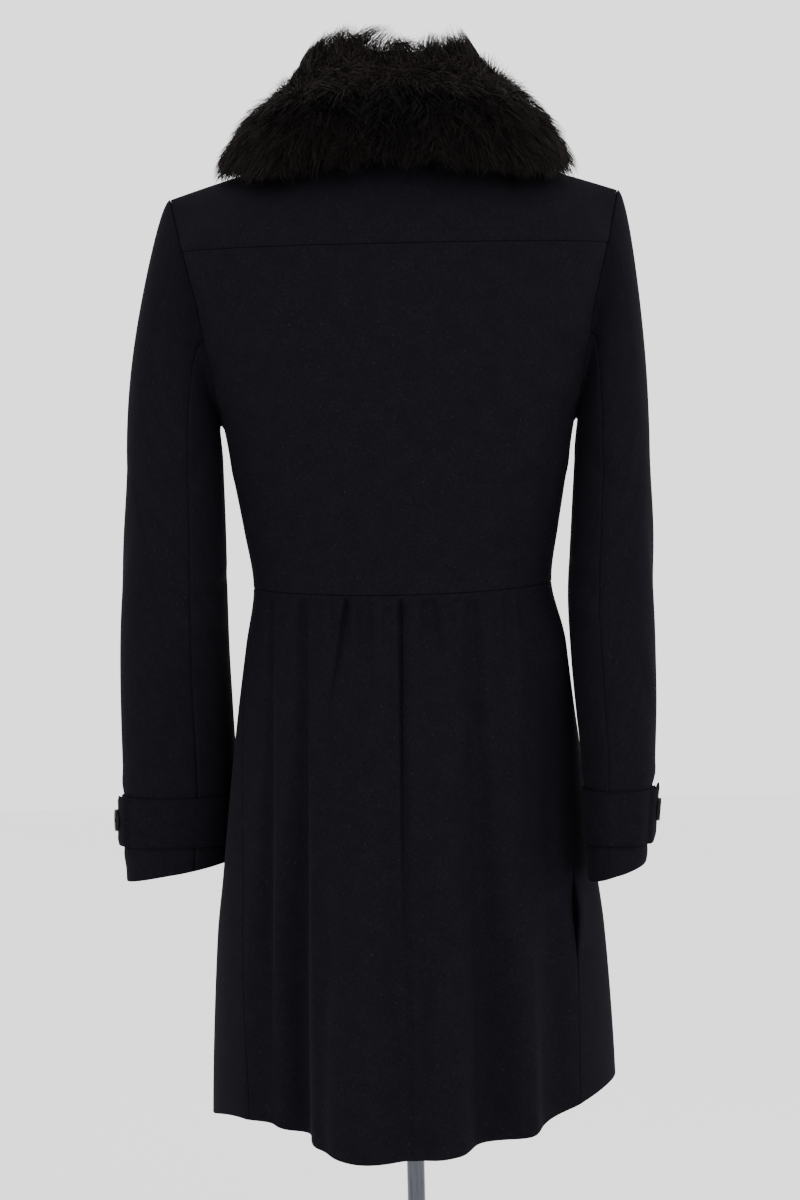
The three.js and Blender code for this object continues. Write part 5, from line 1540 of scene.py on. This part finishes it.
# how each panel is held, by the start of its name, and what carries it
holding = [
    ("yokeCloth", "draped", ["form_torso"]), ("backCloth", "draped", ["form_torso", "back_yoke"]),
    ("backSkirtCloth", "gathered", ["back_bodice"]), ("frontCloth_", "draped", ["form_torso", "back_yoke"]),
    ("frontSkirtCloth_left", "hung", ["front_bodice_left"]),
    ("frontSkirtCloth_right", "hung", ["front_bodice_right"]),
    ("sleeveCloth_top_", "hung", ["back_yoke", "back_bodice"]), ("sleeveCloth_under_", "hung", ["back_bodice"]),
    ("strapCloth_left", "draped", ["sleeve_top_left", "sleeve_under_left"]),
    ("strapCloth_right", "draped", ["sleeve_top_right", "sleeve_under_right"]),
    ("collarStandCloth", "stretched", ["back_yoke"]),
]
for name, facts in sheets.items():
    held, restsOn = next(row[1:] for row in holding if name.startswith(row[0]))
    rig.sheet(facts["piece"], flat=facts["cut"][:2], area=facts["cut"][2], held=held, rests_on=restsOn,
             with_pieces=facts["with"])
print("sheets declared")


# buttons
buttonLook = {
    # widths for a button of this radius, which a smaller one shrinks; insets and steps down of the face
    "radius": 14.0, "bevel": 0.9, "bevelLimit": 30, "holeRadius": 1.3, "holeOut": 2.9, "smoothBelow": 32,
    "insets": ((2.3, -0.2), (1.2, -0.12), (3.2, 0)),
}
threadLook = {"radius": 0.42, "endRadius": 0.44, "apart": 0.35, "crossing": 0.3, "clear": 0.6, "below": 1.0}
buttonSets = [
    {"radius": 14.0, "thick": 4.5, "spots": [
        ("front_button_1", (0, -136.03, 1229.47), (0, -0.991, 0.135)),
        ("front_button_2", (0, -142.46, 1147.46), (0, -0.994, -0.111)),
        ("front_button_3", (0, -122.89, 1066.68), (0, -0.963, -0.27)),
        ("front_button_4", (0, -110.99, 988.9), (0, -0.983, 0.183)),
        ("front_button_5", (0, -124.56, 908.7), (0, -0.99, 0.144)),
    ]},
    {"radius": 10.0, "thick": 3.5, "spots": [
        ("strap_button_left", (265.34, -51.38, 797.53), (0.987, 0.16, 0.007)),
        ("strap_button_right", (-217.91, 79.12, 812.30), (-0.991, 0.087, -0.104)),
    ]},
]


def selectTopFace(piece):
    bpy.ops.object.mode_set(mode="EDIT")
    bpy.ops.mesh.select_all(action="DESELECT")
    bpy.ops.object.mode_set(mode="OBJECT")
    top = max(piece.data.polygons, key=lambda face: face.center.z + 0.001 * face.normal.z)
    top.select = True
    bpy.ops.object.mode_set(mode="EDIT")
    bpy.ops.mesh.select_mode(type="FACE")


def makeButtonMaster(radius, thick):
    # turned disc with a raised rim, a dished middle and four holes, standing on +Z
    look = buttonLook
    scale = radius / look["radius"]
    bpy.ops.mesh.primitive_cylinder_add(vertices=48, radius=radius / 1000, depth=thick / 1000,
                                        location=(0, 0, thick / 2000))
    disc = bpy.context.object
    selectTopFace(disc)
    for inset, down in look["insets"]:
        bpy.ops.mesh.inset(thickness=inset * scale / 1000)
        if down:
            bpy.ops.transform.translate(value=(0, 0, down * thick / 1000))
    bpy.ops.object.mode_set(mode="OBJECT")
    bpy.ops.object.transform_apply(location=True, rotation=True, scale=True)
    softenEdges(disc, look["bevel"] * scale / 1000, look["bevelLimit"])
    out = look["holeOut"] * scale / 1000
    for k in range(4):
        turn = math.radians(45 + 90 * k)
        bpy.ops.mesh.primitive_cylinder_add(vertices=16, radius=look["holeRadius"] * scale / 1000, depth=0.02,
                                            location=(out * math.cos(turn), out * math.sin(turn), 0))
        drill = bpy.context.object
        onlySelect(disc)
        cut = disc.modifiers.new("hole", "BOOLEAN")
        cut.object = drill
        cut.operation = "DIFFERENCE"
        cut.solver = "EXACT"
        bpy.ops.object.modifier_apply(modifier="hole")
        bpy.data.objects.remove(drill)
    onlySelect(disc)
    bpy.ops.object.shade_smooth_by_angle(angle=math.radians(look["smoothBelow"]))
    return disc


def makeThreadMaster(radius, thick):
    # two pairs of crossing strands through the holes and the shank of thread below
    look, scale = threadLook, radius / buttonLook["radius"]
    out = buttonLook["holeOut"] * scale / 1000
    top = (0.68 * thick + look["clear"] * scale) / 1000
    below = look["below"] / 1000
    pieces = []

    def addRod(rodRadius, depth, place, turned=(0, 0, 0)):
        bpy.ops.mesh.primitive_cylinder_add(vertices=10, radius=rodRadius * scale / 1000, depth=depth,
                                            location=place, rotation=turned)
        bpy.ops.object.transform_apply(location=True, rotation=True, scale=True)
        pieces.append(bpy.context.object)
    for k in range(4):
        turn = math.radians(45 + 90 * (k % 2))
        across = turn + math.pi / 2
        shift = look["apart"] / 1000 * (1 if k < 2 else -1) * scale
        x, y = shift * math.cos(across), shift * math.sin(across)
        addRod(look["radius"], 2 * out, (x, y, top + look["crossing"] / 1000 * (k % 2) * scale),
               (math.pi / 2, 0, across))
        for end in (-1, 1):
            addRod(look["endRadius"], top + below,
                   (x + end * out * math.cos(turn), y + end * out * math.sin(turn), (top - below) / 2))
    bpy.ops.object.select_all(action="DESELECT")
    for piece in pieces:
        piece.select_set(True)
    bpy.context.view_layer.objects.active = pieces[0]
    bpy.ops.object.join()
    bpy.ops.object.shade_smooth()
    return bpy.context.object


def placeCopy(master, name, place, normal, material, slotName, nodes=()):
    copy = master.copy()
    copy.data = master.data.copy()
    copy.name = name
    bpy.context.scene.collection.objects.link(copy)
    turn = Vector((0, 0, 1)).rotation_difference(Vector(normal)).to_matrix().to_4x4()
    copy.data.transform(Matrix.Translation(Vector(place) / 1000) @ turn)
    copy.data.materials.clear()
    copy.data.materials.append(material)
    return declare(copy, slotName, nodes)


for buttons in buttonSets:
    radius, thick = buttons["radius"], buttons["thick"]
    disc, sewing = makeButtonMaster(radius, thick), makeThreadMaster(radius, thick)
    for node, place, normal in buttons["spots"]:
        placeCopy(disc, node + "_disc", place, normal, horn, "button", [node])
        placeCopy(sewing, node + "_thread", place, normal, thread, "wool")
    bpy.data.objects.remove(disc)
    bpy.data.objects.remove(sewing)
print("buttons made")


# the dress form and its stand
formLook = {"smooth": 1, "sink": 3.0, "neckAbove": 1400, "sinkEase": 40}
# turned pieces, each edge as radius and height from the axis out and back
turnedPieces = {
    "neckCapTurned": {
        "steps": 72, "material": wood, "slot": "wood", "node": "form_neck_cap", "place": (0, -5, 1440.3),
        "edge": [(0, 0), (46, 0), (47.6, 1.2), (48, 3), (47.4, 5), (46, 7), (40, 8.9), (32, 10), (26, 10.6),
                 (25, 10.1), (24, 10.8), (14, 12), (6, 12.4), (0, 12.5)],
    },
    "poleTube": {
        "steps": 48, "material": steel, "slot": "steel", "node": "stand_pole", "place": (0, 0, 0),
        "edge": [(0, 14.3), (8, 14.3), (8, 120), (8, 300), (8, 500), (8, 700), (8, 795), (0, 795)],
    },
    "roundBase": {
        "steps": 120, "material": steel, "slot": "steel", "node": "stand_base", "place": (0, 0, 0),
        "edge": [(0, 0), (157, 0), (159.4, 0.6), (160, 2), (160, 6), (159.2, 7.4), (157, 8.1), (100, 10.6),
                 (33, 13), (24, 14.6), (20, 19), (19, 26), (19, 49), (18.4, 51.2), (17, 52), (9, 52),
                 (8.3, 51.2), (8.3, 14), (0, 14)],
    },
}
turnedLook = {"bevel": 0.0008, "bevelLimit": 40, "smoothBelow": 35, "weld": 0.00002}


def spunPiece(name, facts):
    # the edge is spun once round the upright axis
    edge = facts["edge"]
    mesh = bpy.data.meshes.new(name)
    mesh.from_pydata([(x / 1000, 0, z / 1000) for x, z in edge], [(k, k + 1) for k in range(len(edge) - 1)], [])
    piece = linked(name, mesh)
    editWhole(piece,
              (bpy.ops.mesh.spin, {"steps": facts["steps"], "angle": 2 * math.pi, "center": (0, 0, 0),
                                   "axis": (0, 0, 1)}),
              (bpy.ops.mesh.remove_doubles, {"threshold": turnedLook["weld"]}),
              (bpy.ops.mesh.normals_make_consistent, {"inside": False}))
    softenEdges(piece, turnedLook["bevel"], turnedLook["bevelLimit"])
    bpy.ops.object.shade_smooth_by_angle(angle=math.radians(turnedLook["smoothBelow"]))
    piece.data.transform(Matrix.Translation(Vector(facts["place"]) / 1000))
    piece.data.materials.append(facts["material"])
    return declare(piece, facts["slot"], [facts["node"]])


for name, facts in turnedPieces.items():
    spunPiece(name, facts)


def makeForm():
    # the form's skin, merged and smoothed from its solid
    piece = linked("formSkin", frame["nodes"]["form_torso"].data.copy())
    editWhole(piece, (bpy.ops.mesh.remove_doubles, {"threshold": 0.00005}),
              (bpy.ops.mesh.tris_convert_to_quads, {}))
    smooth = piece.modifiers.new("smooth", "SUBSURF")
    smooth.levels = formLook["smooth"]
    smooth.render_levels = formLook["smooth"]
    bpy.ops.object.modifier_apply(modifier="smooth")
    bpy.ops.object.shade_smooth()
    # the skin lies a little inside the coat's seams, and keeps its neck under the cap
    count = len(piece.data.vertices)
    point, normal = np.empty((count, 3)), np.empty((count, 3))
    piece.data.vertices.foreach_get("co", point.ravel())
    piece.data.vertices.foreach_get("normal", normal.ravel())
    sink = formLook["sink"] / 1000 * ease((formLook["neckAbove"] - 1000 * point[:, 2]) / formLook["sinkEase"])
    piece.data.vertices.foreach_set("co", (point - normal * sink[:, None]).ravel())
    piece.data.update()
    piece.data.materials.clear()
    piece.data.materials.append(linen)
    return declare(piece, "form_cover", ["form_torso"])


makeForm()
print("form and stand made")

with open("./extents.json", "w") as sizes:
    json.dump({"cad": cadBox, "visual": [list(corner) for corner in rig.bounds()]}, sizes)
